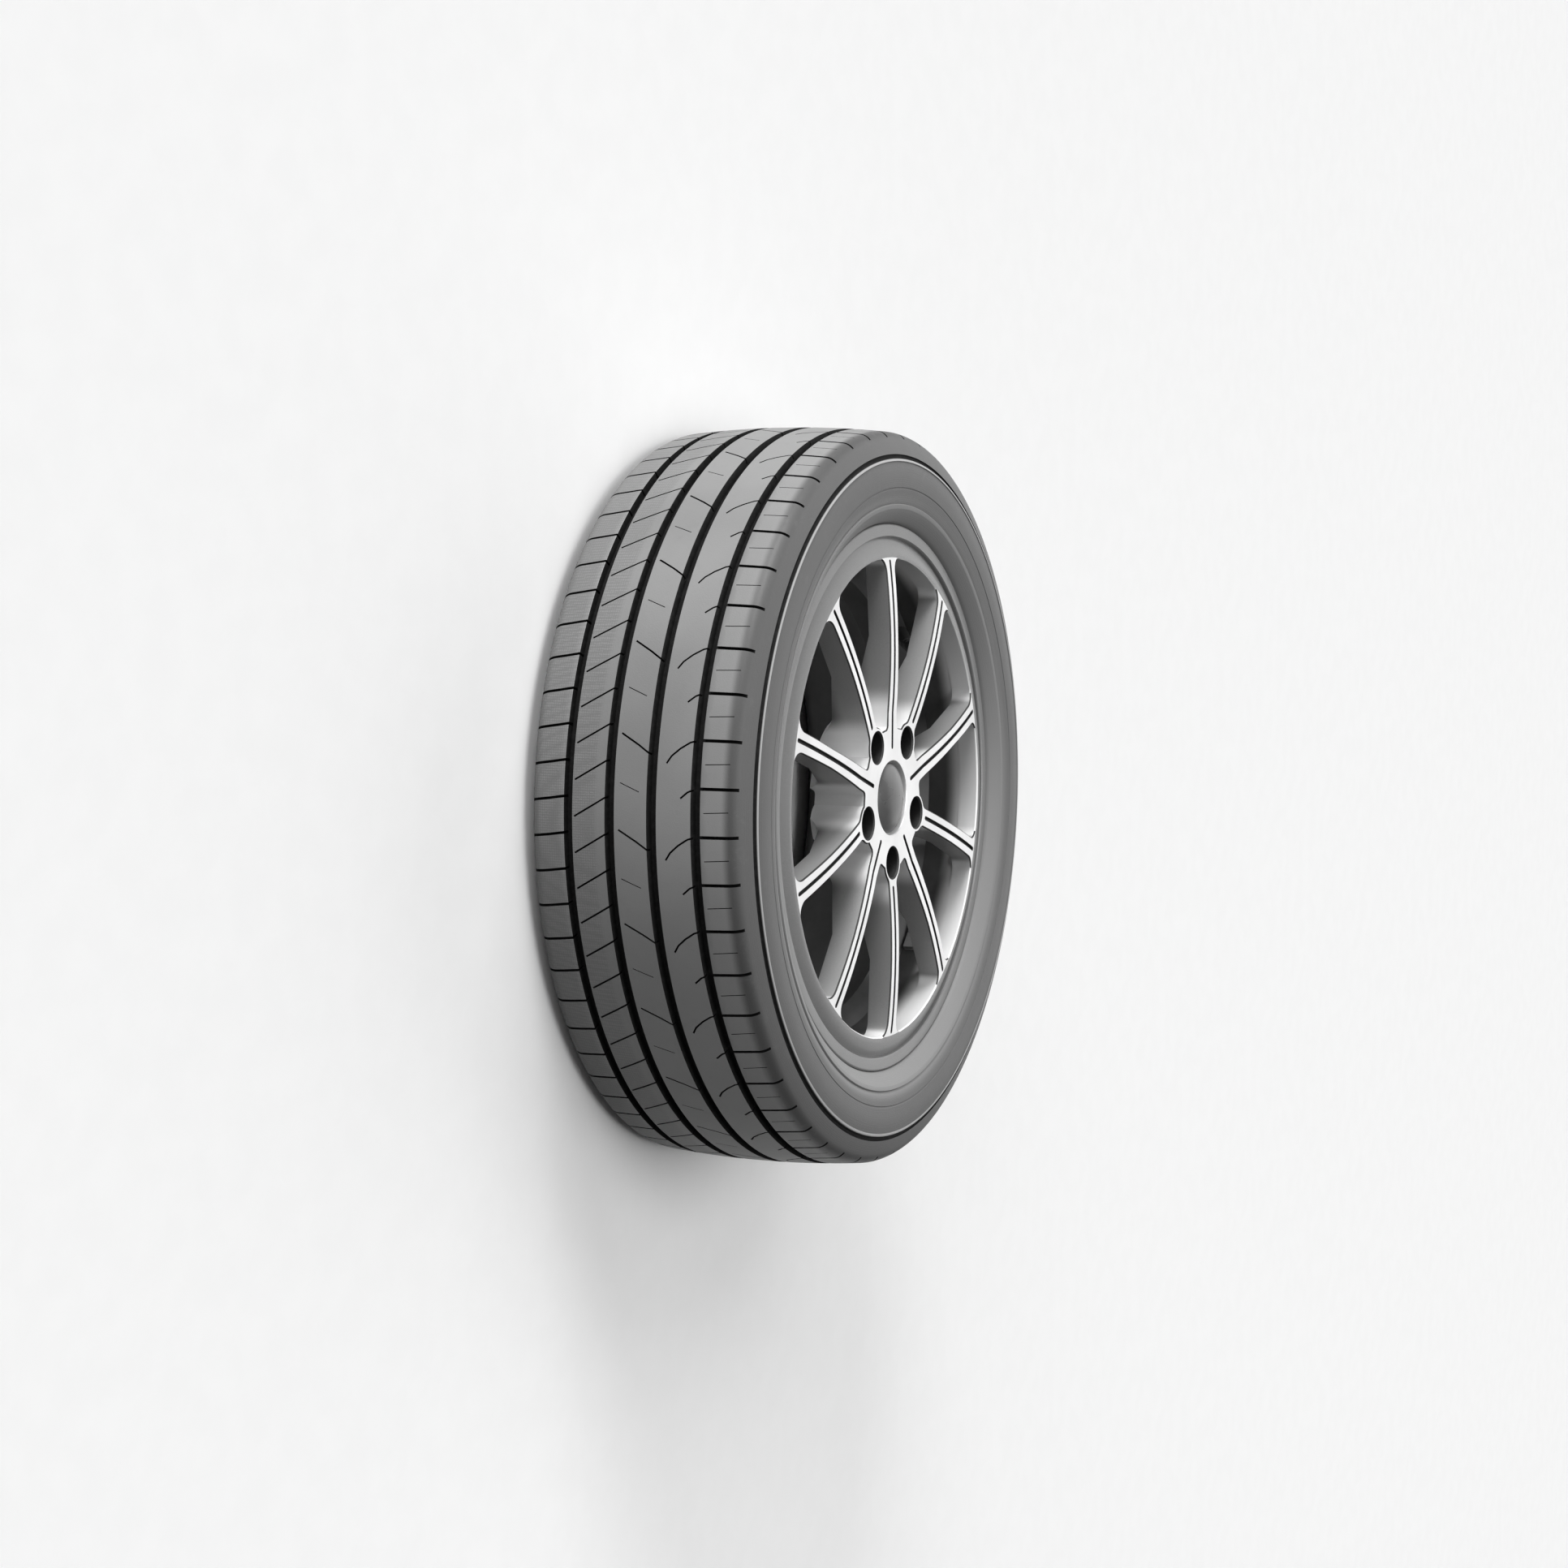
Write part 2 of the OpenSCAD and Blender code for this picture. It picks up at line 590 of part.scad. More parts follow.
module valve_core() {
    color([0.8, 0.66, 0.34])
        valve_frame()
            translate([0, 0, core_foot])
                difference() {
                    union() {
                        cylinder(h = 6, r = 1.9);
                        translate([0, 0, 5]) cylinder(h = core_l - 5, r = core_r);
                    }
                    translate([0, 0, -1]) cylinder(h = core_l + 2, r = 0.9);
                    translate([0, 0, core_l - 4]) cylinder(h = 5, r = 1.7);
                }
}

module valve_core_pin() {
    color([0.8, 0.66, 0.34])
        valve_frame()
            translate([0, 0, core_foot]) {
                translate([0, 0, -4]) cylinder(h = core_l + 3.6, r = 0.45);
                translate([0, 0, -2.4]) cylinder(h = 2.2, r = 1.5);
            }
}

module valve_core_spring() {
    color([0.75, 0.75, 0.76])
        valve_frame()
            for (k = [0:3])
                translate([0, 0, core_foot + core_l - 3.6 + k * 0.8])
                    rotate_extrude() translate([1.1, 0]) circle(d = 0.5, $fn = 16);
}

module valve_cap() {
    color([0.07, 0.07, 0.07])
        valve_frame()
            difference() {
                translate([0, 0, body_top + small_gap]) {
                    cylinder(h = stem_l + 0.6, d = valve_cap_d);
                    translate([0, 0, stem_l + 0.6]) cylinder(h = 1.6, d1 = valve_cap_d, d2 = valve_cap_d - 2.4);
                }
                translate([0, 0, body_top - 1]) cylinder(h = stem_l + 1.2, r = stem_r + small_gap);
            }
}

// Balance weights on their tape, on the wall inside the ring
weight_z = ring_z - weight_drop - weight_w;
weight_step = 360 * (weight_l + 0.6) / (2 * PI * (window_r - tape_t));
module rim_band(r, t, z, w, from, span) {
    rotate_extrude(angle = span, start = from) translate([r - t, z]) square([t, w]);
}

module balance_weights() {
    color([0.6, 0.61, 0.62])
        for (k = [0:weight_count - 1])
            rim_band(window_r - tape_t, weight_t, weight_z, weight_w, weight_turn + k * weight_step,
                weight_step * weight_l / (weight_l + 0.6));
}

module weight_tape() {
    color([0.85, 0.85, 0.83])
        rim_band(window_r, tape_t, weight_z + 0.5, weight_w - 1, weight_turn + 0.1, weight_count * weight_step - 0.4);
}

wheel();
tyre();
centre_cap();
cap_spring_ring();
valve_stem();
valve_insert();
valve_core();
valve_core_pin();
valve_core_spring();
valve_cap();
balance_weights();
weight_tape();
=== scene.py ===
import math

import bpy
import numpy as np
from mathutils import Matrix, Vector


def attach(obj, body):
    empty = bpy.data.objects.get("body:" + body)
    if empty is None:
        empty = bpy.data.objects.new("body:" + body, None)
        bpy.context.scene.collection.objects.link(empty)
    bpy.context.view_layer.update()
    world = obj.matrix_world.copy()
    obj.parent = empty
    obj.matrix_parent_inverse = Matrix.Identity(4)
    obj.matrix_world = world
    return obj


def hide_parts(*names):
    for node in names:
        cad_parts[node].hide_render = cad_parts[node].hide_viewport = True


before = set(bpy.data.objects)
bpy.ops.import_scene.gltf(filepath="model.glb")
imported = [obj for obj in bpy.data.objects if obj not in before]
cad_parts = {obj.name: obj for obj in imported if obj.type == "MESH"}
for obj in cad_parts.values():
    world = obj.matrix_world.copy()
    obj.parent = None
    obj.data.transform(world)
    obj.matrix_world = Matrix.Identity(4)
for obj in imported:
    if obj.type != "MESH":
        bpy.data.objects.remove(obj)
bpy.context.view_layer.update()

MM = 0.001
BODY = "root"

# Tyre sizes, in millimetres
TYRE_R = 318.5
TYRE_HALF_W = 99.5
TREAD_HALF_W = 82.0
CROWN_DROP = 4.0
SHOULDER_R = 12.0
SHOULDER_END = 68.0
CROWN_T = 15.0
SIDEWALL_T = 8.0
BELLY_H = 38.0
GROOVE_W = 7.5
GROOVE_DEPTH = 7.5
GROOVE_FLOOR_W = 5.25
GROOVE_CHAMFER = 0.5
GROOVE_IN_Z = 18.5
GROOVE_OUT_Z = 56.5
SLOT_W = 2.6
INBOARD_SLOT_W = 2.2
SIPE_W = 1.5
THIN_SIPE_W = 0.7
SLOT_DEPTH = 9.2
SIPE_DEPTH = 5.5
OUTBOARD_PITCHES = 52
INBOARD_PITCHES = 68
OUTBOARD_TURN = 1.1
INBOARD_TURN = 1.1
LINE_DROP = 25.5
BEAD_W = 20.0
BEAD_GAP = 0.2
PROTECTOR_RISE = 8.0
TYRE_STEPS = 312

# Lines of the slots and sipes: steps round the tread and heights, in millimetres
SLOT_IN_Z = GROOVE_OUT_Z + GROOVE_W / 2 - 1
SHOULDER_SLOT = [(0, SLOT_IN_Z), (0, TYRE_HALF_W)]
SHOULDER_SIPE = [(0, SLOT_IN_Z + 4), (-1, TREAD_HALF_W + 2)]
LONG_SIPE = [(19, GROOVE_IN_Z + 12), (13, GROOVE_IN_Z + 16), (7, GROOVE_IN_Z + 23), (2, GROOVE_IN_Z + 31),
             (0, GROOVE_OUT_Z)]
SHORT_SIPE = [(8, GROOVE_IN_Z + 25), (3, GROOVE_IN_Z + 31), (0, GROOVE_OUT_Z)]
MIDDLE_SIPE = [(-4, -GROOVE_IN_Z + 8), (5, 5), (14, GROOVE_IN_Z)]
THIN_SIPE = [(-3, -GROOVE_IN_Z + 9), (4, GROOVE_IN_Z - 11)]
INBOARD_SLOT = [(0, -SLOT_IN_Z), (2, -TREAD_HALF_W + 8), (5, -TYRE_HALF_W)]
INBOARD_SIPE = [(-2, -GROOVE_IN_Z), (6, -GROOVE_IN_Z - 14), (16, -GROOVE_OUT_Z + 6)]

# Fine forms of the sidewall: steps of radius and height from where each one stands, in millimetres
STYLING_LINE = [(1.9, 0), (1.1, -1.2), (-1.1, -1.2), (-1.9, 0.3), (-2.5, 0.9), (-3.9, 0.9), (-4.8, 0)]
STYLING_LINE_HALF_W = 1.6
THIN_LINE = [(0.9, 0), (0.4, -0.4), (-0.4, -0.4), (-0.9, 0)]
PROTECTOR_RIDGE = [(8.6, 0.9), (8, 1.4), (5, 1), (4.2, 0.6)]
PROTECTOR_FOOT = [(3.4, 2.8), (2.6, 2), (1.5, 1)]

# Rim sizes, in millimetres
SEAT_R = 218.3
RIM_HALF_W = 76.2
FLANGE_H = 17.5
FLANGE_T = 11.5
FLANGE_R = 9.5
HEEL_R = 6.5
SEAT_W = 21.0
HUMP_H = 1.5
HUMP_RUN = 10.0
WELL_R = 200.0
WELL_IN_Z = 5.0
WELL_OUT_Z = 25.0
BARREL_T = 6.0
LIP_W = 12.0
LIP_STEP = 3.5
RING_RISE = 2.5
RING_W = 17.0
RING_LAND = 5.0
WHEEL_STEPS = 240

# Spoke and hub sizes, in millimetres
MOUNT_Z = 46.0
HUB_Z = 92.0
PAD_R = 74.0
SPOKE_CROWN = 3.0
SPOKE_T = 18.0
SPOKE_ROOT_T = 30.0
SPOKE_W = 17.0
SPOKE_END_W = 19.0
WINDOW_IN_R = 60.0
WINDOW_CORNER_R = 11.0
WINDOW_SKIN = 0.15
CHANNEL_W = 3.2
CHANNEL_DEPTH = 3.0
BACK_CHANNEL_W = 8.0
BACK_CHANNEL_DEPTH = 6.0
EDGE = 1.1
BOLTS = 5
LUG_R = 56.0
FIRST_LUG = -90.0
BOLT_HOLE_R = 7.5
POCKET_R = 13.5
POCKET_WALL = 4.0
BOLT_LAND = 14.0
BORE_R = 28.55
BORE_L = 15.0
BORE_CHAMFER = 1.5
BORE_RELIEF = 0.8
CAP_SEAT_GAP = 1.6
RELIEF_R = 8.0
RELIEF_DEPTH = 12.0

# Cap and valve sizes, in millimetres
CAP_R = 30.5
CAP_DOME_H = 9.0
CAP_EDGE_T = 3.0
CAP_WALL = 2.0
CAP_BORE_R = 26.0
CAP_SEAT_Z = 86.0
CAP_LEDGE_Z = 74.0
CLIPS = 8
CLIP_NOTCH_W = 4.0
VALVE_TURN = 42.0
VALVE_SHIFT = 3.0
VALVE_HOLE_R = 5.7
VALVE_FOOT_R = 8.5
VALVE_BODY_L = 20.0
STEM_R = 3.85
STEM_L = 10.0
VALVE_CAP_R = 4.8
FLUTES = 24
FLUTE_DEPTH = 0.055
SMALL_GAP = 0.1
VALVE_SEAT_GAP = 0.3

# Where a finish fades in, from none of it to all of it, in metres
OUTBOARD_Z = (0.077, 0.085)
WALL_R = (0.312, 0.306)
CONE_R = (0.263, 0.251)
# Where the painted highlight on the styling line's ridge fades in and out
RIDGE_HIGHLIGHT_IN_R = (0.2886, 0.2891)
RIDGE_HIGHLIGHT_OUT_R = (0.2910, 0.2905)
KNURL_Z = (-0.028, -0.034)
# Where the painted shade deep inside the wheel fades in
SHADE_DEPTH_Z = (0.076, 0.058)
SHADE_DEPTH_R = (0.078, 0.1)
# Where the painted highlights on the hub walls and the rim wall fade in
HUB_HIGHLIGHT_R = (0.098, 0.078)
RIM_WALL_HIGHLIGHT_R = (0.199, 0.204)

# The camera: distances in millimetres, turns in degrees, and places in the picture in pixels
CAMERA_DISTANCE = 3102.5
CAMERA_FOCAL = 4383.9
CAMERA_TURN = 65.782
CAMERA_LIFT = 5.031
CAMERA_ROLL = -0.283
PICTURE_SIDE = 1932
PICTURE_MIDDLE = (979.42, 979.02)
SENSOR_W = 36.0

# The set: metres for the floor, and shares of white for the surroundings
FLOOR_R = 14.0
SURROUNDINGS = 0.08

FLANGE_TOP_R = SEAT_R + FLANGE_H
LIP_Z = RIM_HALF_W + FLANGE_T
RING_Z = LIP_Z + RING_RISE
BELLY_R = FLANGE_TOP_R + BELLY_H
WINDOW_R = FLANGE_TOP_R - LIP_W - RING_W
SEAT_IN_R = SEAT_R - (SEAT_W - HEEL_R) * math.tan(math.radians(5))
LEG_R = SEAT_IN_R - 5
BOSS_R = POCKET_R + POCKET_WALL
BOSS_FILLET = 8.0
HALF_STEP = 180 / BOLTS / 2
MID_R = (PAD_R + WINDOW_R) / 2
SLOPE_TOP = Vector((SEAT_IN_R, RIM_HALF_W - SEAT_W - HUMP_RUN))
SLOPE_FOOT = Vector((WELL_R, WELL_OUT_Z))
SLOPE_RUN = (SLOPE_TOP - SLOPE_FOOT).normalized()
SLOPE_NORMAL = Vector((-SLOPE_RUN.y, SLOPE_RUN.x))
SLOPE_MID = (SLOPE_TOP + SLOPE_FOOT) / 2
VALVE_POINT = SLOPE_MID - VALVE_SHIFT * SLOPE_RUN


def rest_mode():
    """Back in object mode with nothing selected."""
    if bpy.context.object and bpy.context.object.mode != "OBJECT":
        bpy.ops.object.mode_set(mode="OBJECT")
    bpy.ops.object.select_all(action="DESELECT")


def take(piece):
    """Makes one piece the only selected and active one."""
    rest_mode()
    piece.select_set(True)
    bpy.context.view_layer.objects.active = piece


def from_points(name, points, edges=(), faces=()):
    """A new piece with its points in millimetres."""
    mesh = bpy.data.meshes.new(name)
    mesh.from_pydata([[c * MM for c in p] for p in points], edges, faces)
    piece = bpy.data.objects.new(name, mesh)
    bpy.context.scene.collection.objects.link(piece)
    take(piece)
    return piece


def drawn_line(name, points, closed=True):
    """A line through points, as the start of a piece."""
    count = len(points)
    return from_points(name, points, [(k, (k + 1) % count) for k in range(count if closed else count - 1)])


def close_up():
    """In edit mode: joins doubled points and turns the faces outwards."""
    bpy.ops.mesh.select_all(action="SELECT")
    bpy.ops.mesh.remove_doubles(threshold=0.00001)
    bpy.ops.mesh.normals_make_consistent(inside=False)


def spun(name, section, steps, closed=True):
    """A section of (radius, height) points turned once round the Z axis."""
    piece = drawn_line(name, [(r, 0, z) for r, z in section], closed)
    bpy.ops.object.mode_set(mode="EDIT")
    bpy.ops.mesh.select_all(action="SELECT")
    bpy.ops.mesh.spin(steps=steps, angle=2 * math.pi, center=(0, 0, 0), axis=(0, 0, 1))
    close_up()
    rest_mode()
    return piece


def prism(name, outline, low, high):
    """An outline in the XY plane raised from one height to another."""
    piece = drawn_line(name, [(x, y, low) for x, y in outline])
    bpy.ops.object.mode_set(mode="EDIT")
    bpy.ops.mesh.select_all(action="SELECT")
    bpy.ops.mesh.edge_face_add()
    bpy.ops.mesh.extrude_region_move(TRANSFORM_OT_translate={"value": (0, 0, (high - low) * MM)})
    close_up()
    rest_mode()
    return piece


def lofted(name, loops):
    """A closed skin through loops of equal length, capped at both ends."""
    count = len(loops[0])
    points = [p for loop in loops for p in loop]
    faces = [tuple(range(count))[::-1], tuple(range(len(points) - count, len(points)))]
    for k in range(len(loops) - 1):
        for j in range(count):
            a, b = k * count + j, k * count + (j + 1) % count
            faces.append((a, b, b + count, a + count))
    piece = from_points(name, points, [], faces)
    bpy.ops.object.mode_set(mode="EDIT")
    close_up()
    rest_mode()
    return piece


def placed(piece, matrix):
    """Moves the points of a piece; the matrix is in millimetres."""
    moved = matrix.copy()
    moved.translation = moved.translation * MM
    piece.data.transform(moved)
    return piece


def round_axis(piece, degrees):
    return placed(piece, Matrix.Rotation(math.radians(degrees), 4, "Z"))


def repeat_round(piece, count, step, start=0.0):
    """Copies a piece round the wheel axis, every so many degrees."""
    round_axis(piece, start)
    turner = bpy.data.objects.new("turner", None)
    bpy.context.scene.collection.objects.link(turner)
    turner.rotation_euler = (0, 0, math.radians(step))
    bpy.context.view_layer.update()
    take(piece)
    array = piece.modifiers.new("round", "ARRAY")
    array.count = count
    array.use_relative_offset = False
    array.use_object_offset = True
    array.offset_object = turner
    bpy.ops.object.modifier_apply(modifier=array.name)
    bpy.data.objects.remove(turner)
    return piece


def joined(name, pieces):
    """Several pieces made one."""
    rest_mode()
    for piece in pieces:
        piece.select_set(True)
    bpy.context.view_layer.objects.active = pieces[0]
    bpy.ops.object.join()
    pieces[0].name = name
    return pieces[0]


def with_slots(piece, finishes, index=0):
    """Gives a piece all its finishes and puts one of them on every face."""
    for finish in finishes:
        piece.data.materials.append(finish)
    piece.data.polygons.foreach_set("material_index", np.full(len(piece.data.polygons), index, np.int32))
    return piece


def cut(piece, tool):
    """Cuts a tool out of a piece and takes the tool away; the cut faces keep the tool's finish."""
    take(piece)
    boolean = piece.modifiers.new("cut", "BOOLEAN")
    boolean.operation = "DIFFERENCE"
    boolean.solver = "MANIFOLD"
    boolean.object = tool
    bpy.ops.object.modifier_apply(modifier=boolean.name)
    bpy.data.objects.remove(tool)
    return piece


def smooth(piece, degrees=32):
    """Smooth shading, with edges sharper than an angle kept."""
    take(piece)
    bpy.ops.object.shade_smooth_by_angle(angle=math.radians(degrees))
    return piece


def centres_and_normals(piece):
    """Middle and direction of every face, in millimetres, as arrays."""
    count = len(piece.data.polygons)
    centres, normals = np.empty(count * 3), np.empty(count * 3)
    piece.data.polygons.foreach_get("center", centres)
    piece.data.polygons.foreach_get("normal", normals)
    return centres.reshape(-1, 3) / MM, normals.reshape(-1, 3)


def refinish(piece, where, index):
    """Puts one of the piece's finishes on the faces that an array names."""
    indices = np.empty(len(where), np.int32)
    piece.data.polygons.foreach_get("material_index", indices)
    indices[where] = index
    piece.data.polygons.foreach_set("material_index", indices)


def arc(centre, radius, start, end, count):
    """Points of an arc, in degrees, in any plane."""
    turns = [math.radians(start + (end - start) * k / count) for k in range(count + 1)]
    return [(centre[0] + radius * math.cos(a), centre[1] + radius * math.sin(a)) for a in turns]


def lean(a, b, c, count):
    """Points of a curve from a to c that leans towards b, without its first point."""
    points = []
    for k in range(1, count + 1):
        t = k / count
        weights = ((1 - t) ** 2, 2 * t * (1 - t), t * t)
        points.append(tuple(sum(w * p[i] for w, p in zip(weights, (a, b, c))) for i in (0, 1)))
    return points


def corner(a, b, c, radius, count):
    """Arc that rounds the corner b between a and c."""
    a, b, c = Vector(a), Vector(b), Vector(c)
    u, v = (a - b).normalized(), (c - b).normalized()
    half = math.acos(max(-1, min(1, u.dot(v)))) / 2
    centre = b + (u + v).normalized() * radius / math.sin(half)
    start, end = b + u * radius / math.tan(half) - centre, b + v * radius / math.tan(half) - centre
    first = math.degrees(math.atan2(start.y, start.x))
    turn = (math.degrees(math.atan2(end.y, end.x)) - first + 180) % 360 - 180
    return arc(centre, radius, first, first + turn, count)


def far_side(points):
    """The same outline beyond the middle plane, in reverse order."""
    return [(r, -z) for r, z in reversed(points)]


def strip(line, width):
    """Outline of a strip of even width along a line."""
    sides = [[], []]
    for k, point in enumerate(line):
        before, after = line[max(k - 1, 0)], line[min(k + 1, len(line) - 1)]
        run = Vector((after[0] - before[0], after[1] - before[1])).normalized()
        for sign, side in zip((1, -1), sides):
            side.append((point[0] - sign * run.y * width / 2, point[1] + sign * run.x * width / 2))
    return sides[0] + sides[1][::-1]


def grown(outline, amount):
    """An outline that runs anticlockwise, moved outwards all round."""
    points = []
    count = len(outline)
    for k in range(count):
        a, b, c = (Vector(outline[(k + j) % count]) for j in (-1, 0, 1))
        first, second = (b - a).normalized(), (c - b).normalized()
        outwards = Vector((first.y + second.y, -first.x - second.x)).normalized()
        points.append(tuple(b + outwards * amount / max(0.6, outwards.dot(Vector((first.y, -first.x))))))
    return points


def crown_at(z):
    """Radius of the tread at a distance from its middle."""
    return TYRE_R - CROWN_DROP * (z / TREAD_HALF_W) ** 2


def groove_line(z):
    """Outline of one round groove, from its inner edge to its outer one."""
    half, floor = GROOVE_W / 2, GROOVE_FLOOR_W / 2
    edge = half + GROOVE_CHAMFER
    floor_r = crown_at(z) - GROOVE_DEPTH
    return [
        (crown_at(z - edge), z - edge),
        (crown_at(z) - GROOVE_CHAMFER, z - half),
        (floor_r + 1, z - floor - 0.2),
        (floor_r, z - floor + 1),
        (floor_r, z + floor - 1),
        (floor_r + 1, z + floor + 0.2),
        (crown_at(z) - GROOVE_CHAMFER, z + half),
        (crown_at(z + edge), z + edge),
    ]


def form_at(radius, height, form):
    """Points of a fine form of (radius, height) steps at one place."""
    return [(radius + dr, height + dz) for dr, dz in form]


def wall_line(points, radius, form):
    """Puts a fine form of (radius, height) steps on the sidewall at a radius."""
    apart = 0.3
    radii, heights = zip(*points)
    steps = []
    for dr, dz in form:
        steps.append((radius + dr, float(np.interp(radius + dr, radii[::-1], heights[::-1])) + dz))
    outer, inner = steps[0][0] + apart, steps[-1][0] - apart
    return [p for p in points if p[0] > outer] + steps + [p for p in points if p[0] < inner]


def tyre_section():
    """Closed section of the tyre."""
    slope = math.degrees(math.atan(2 * CROWN_DROP / TREAD_HALF_W))
    tilt = math.radians(slope)
    edge_r = crown_at(TREAD_HALF_W)
    centre = (edge_r - SHOULDER_R * math.cos(tilt), TREAD_HALF_W - SHOULDER_R * math.sin(tilt))
    shoulder = arc(centre, SHOULDER_R, slope, SHOULDER_END, 8)
    foot = shoulder[-1]
    bend = max(BELLY_R + 3, foot[0] - (TYRE_HALF_W - foot[1]) * math.tan(math.radians(SHOULDER_END)))
    protector_r = FLANGE_TOP_R + PROTECTOR_RISE
    protector_z = LIP_Z + 0.7 * (TYRE_HALF_W - LIP_Z)
    flange_centre = (FLANGE_TOP_R - FLANGE_R, RIM_HALF_W + FLANGE_R)
    heel_centre = (SEAT_R + HEEL_R, RIM_HALF_W - HEEL_R)
    toe = (SEAT_IN_R + BEAD_GAP, RIM_HALF_W - BEAD_W)
    belly = (BELLY_R, TYRE_HALF_W)
    upper = wall_line(
        lean(foot, (bend, TYRE_HALF_W), belly, 18),
        TYRE_R - LINE_DROP,
        STYLING_LINE,
    )
    lower = wall_line(
        lean(belly, (protector_r + 14, TYRE_HALF_W), (protector_r + 9, protector_z), 10),
        BELLY_R - 8,
        THIN_LINE,
    )
    outer = (
        groove_line(GROOVE_IN_Z)
        + [(crown_at(z), z) for z in (29, 37.5, 46)]
        + groove_line(GROOVE_OUT_Z)
        + [(crown_at(z), z) for z in (66, 74)]
        + shoulder
        + upper
        + lower
        + form_at(protector_r, protector_z, PROTECTOR_RIDGE)
        + form_at(FLANGE_TOP_R, LIP_Z, PROTECTOR_FOOT)
        + arc(flange_centre, FLANGE_R + BEAD_GAP, 0, -90, 6)
        + arc(heel_centre, HEEL_R - BEAD_GAP, 90, 180, 4)
        + [toe]
    )
    liner_r = TYRE_R - CROWN_T
    liner_belly = (BELLY_R, TYRE_HALF_W - SIDEWALL_T)
    start = (toe[0] + 3, toe[1] - 1)
    inner = (
        [start]
        + lean(start, (toe[0] + 16, toe[1] + 22), liner_belly, 6)
        + lean(liner_belly, (liner_r, TYRE_HALF_W - SIDEWALL_T), (liner_r, TREAD_HALF_W - 12), 8)
    )
    half = outer + inner
    return half + far_side(half)


def tread_cutters(line, width, depth, count, step, turn):
    """Slots or sipes along a line of (turn length, height), repeated round the tread."""
    piece = prism("tread_cutter", strip(line, width), 0, depth + 2)
    stand_up = Matrix(((0, 0, 1, TYRE_R - depth), (1, 0, 0, 0), (0, 1, 0, 0), (0, 0, 0, 1)))
    return repeat_round(placed(piece, stand_up), count, step, turn)


def make_tyre(rubber, groove_shade):
    """The tyre, with its grooves, slots and sipes."""
    finishes = [rubber, groove_shade]
    tyre = with_slots(spun("tyre_moulding", tyre_section(), TYRE_STEPS), finishes)
    centres = centres_and_normals(tyre)[0]
    radii, heights = np.hypot(centres[:, 0], centres[:, 1]), abs(centres[:, 2])
    # The grooves and the styling line get the near-black groove colour, which is painted shade.
    in_groove = (radii < crown_at(heights) - 0.15) & (radii > TYRE_R - 12) & (heights < 62)
    on_line = (abs(radii - TYRE_R + LINE_DROP) < STYLING_LINE_HALF_W) & (heights > TYRE_HALF_W - 9)
    refinish(tyre, in_groove | on_line, 1)
    step, pairs, turn = 360 / OUTBOARD_PITCHES, OUTBOARD_PITCHES // 2, OUTBOARD_TURN
    cutters = [
        tread_cutters(SHOULDER_SLOT, SLOT_W, SLOT_DEPTH, 2 * pairs, step, turn),
        tread_cutters(SHOULDER_SIPE, THIN_SIPE_W, SIPE_DEPTH, 2 * pairs, step, turn + step / 2),
        tread_cutters(LONG_SIPE, SIPE_W, SIPE_DEPTH, pairs, 2 * step, turn),
        tread_cutters(MIDDLE_SIPE, SIPE_W, SIPE_DEPTH, pairs, 2 * step, turn),
        tread_cutters(SHORT_SIPE, SIPE_W, SIPE_DEPTH, pairs, 2 * step, turn + step),
        tread_cutters(THIN_SIPE, THIN_SIPE_W, SIPE_DEPTH, pairs, 2 * step, turn + step),
    ]
    step, turn = 360 / INBOARD_PITCHES, INBOARD_TURN
    cutters += [
        tread_cutters(INBOARD_SLOT, INBOARD_SLOT_W, SLOT_DEPTH, INBOARD_PITCHES, step, turn),
        tread_cutters(INBOARD_SIPE, SIPE_W, SIPE_DEPTH, INBOARD_PITCHES, step, turn),
    ]
    # The cut walls of the slots and sipes get the same painted shade.
    return smooth(cut(tyre, with_slots(joined("tread_cutters", cutters), finishes, 1)))


FACE_LINE = (
    [(CAP_R, HUB_Z), (PAD_R, HUB_Z + 0.5)]
    + lean((PAD_R, HUB_Z + 0.5), (MID_R, max(HUB_Z, RING_Z) + 2 * SPOKE_CROWN), (WINDOW_R, RING_Z), 10)
    + [(WINDOW_R + RING_LAND, RING_Z), (FLANGE_TOP_R - LIP_W, LIP_Z - LIP_STEP)]
)


def face_at(radius):
    """Height of the styled face at a radius."""
    return float(np.interp(radius, *zip(*FACE_LINE)))


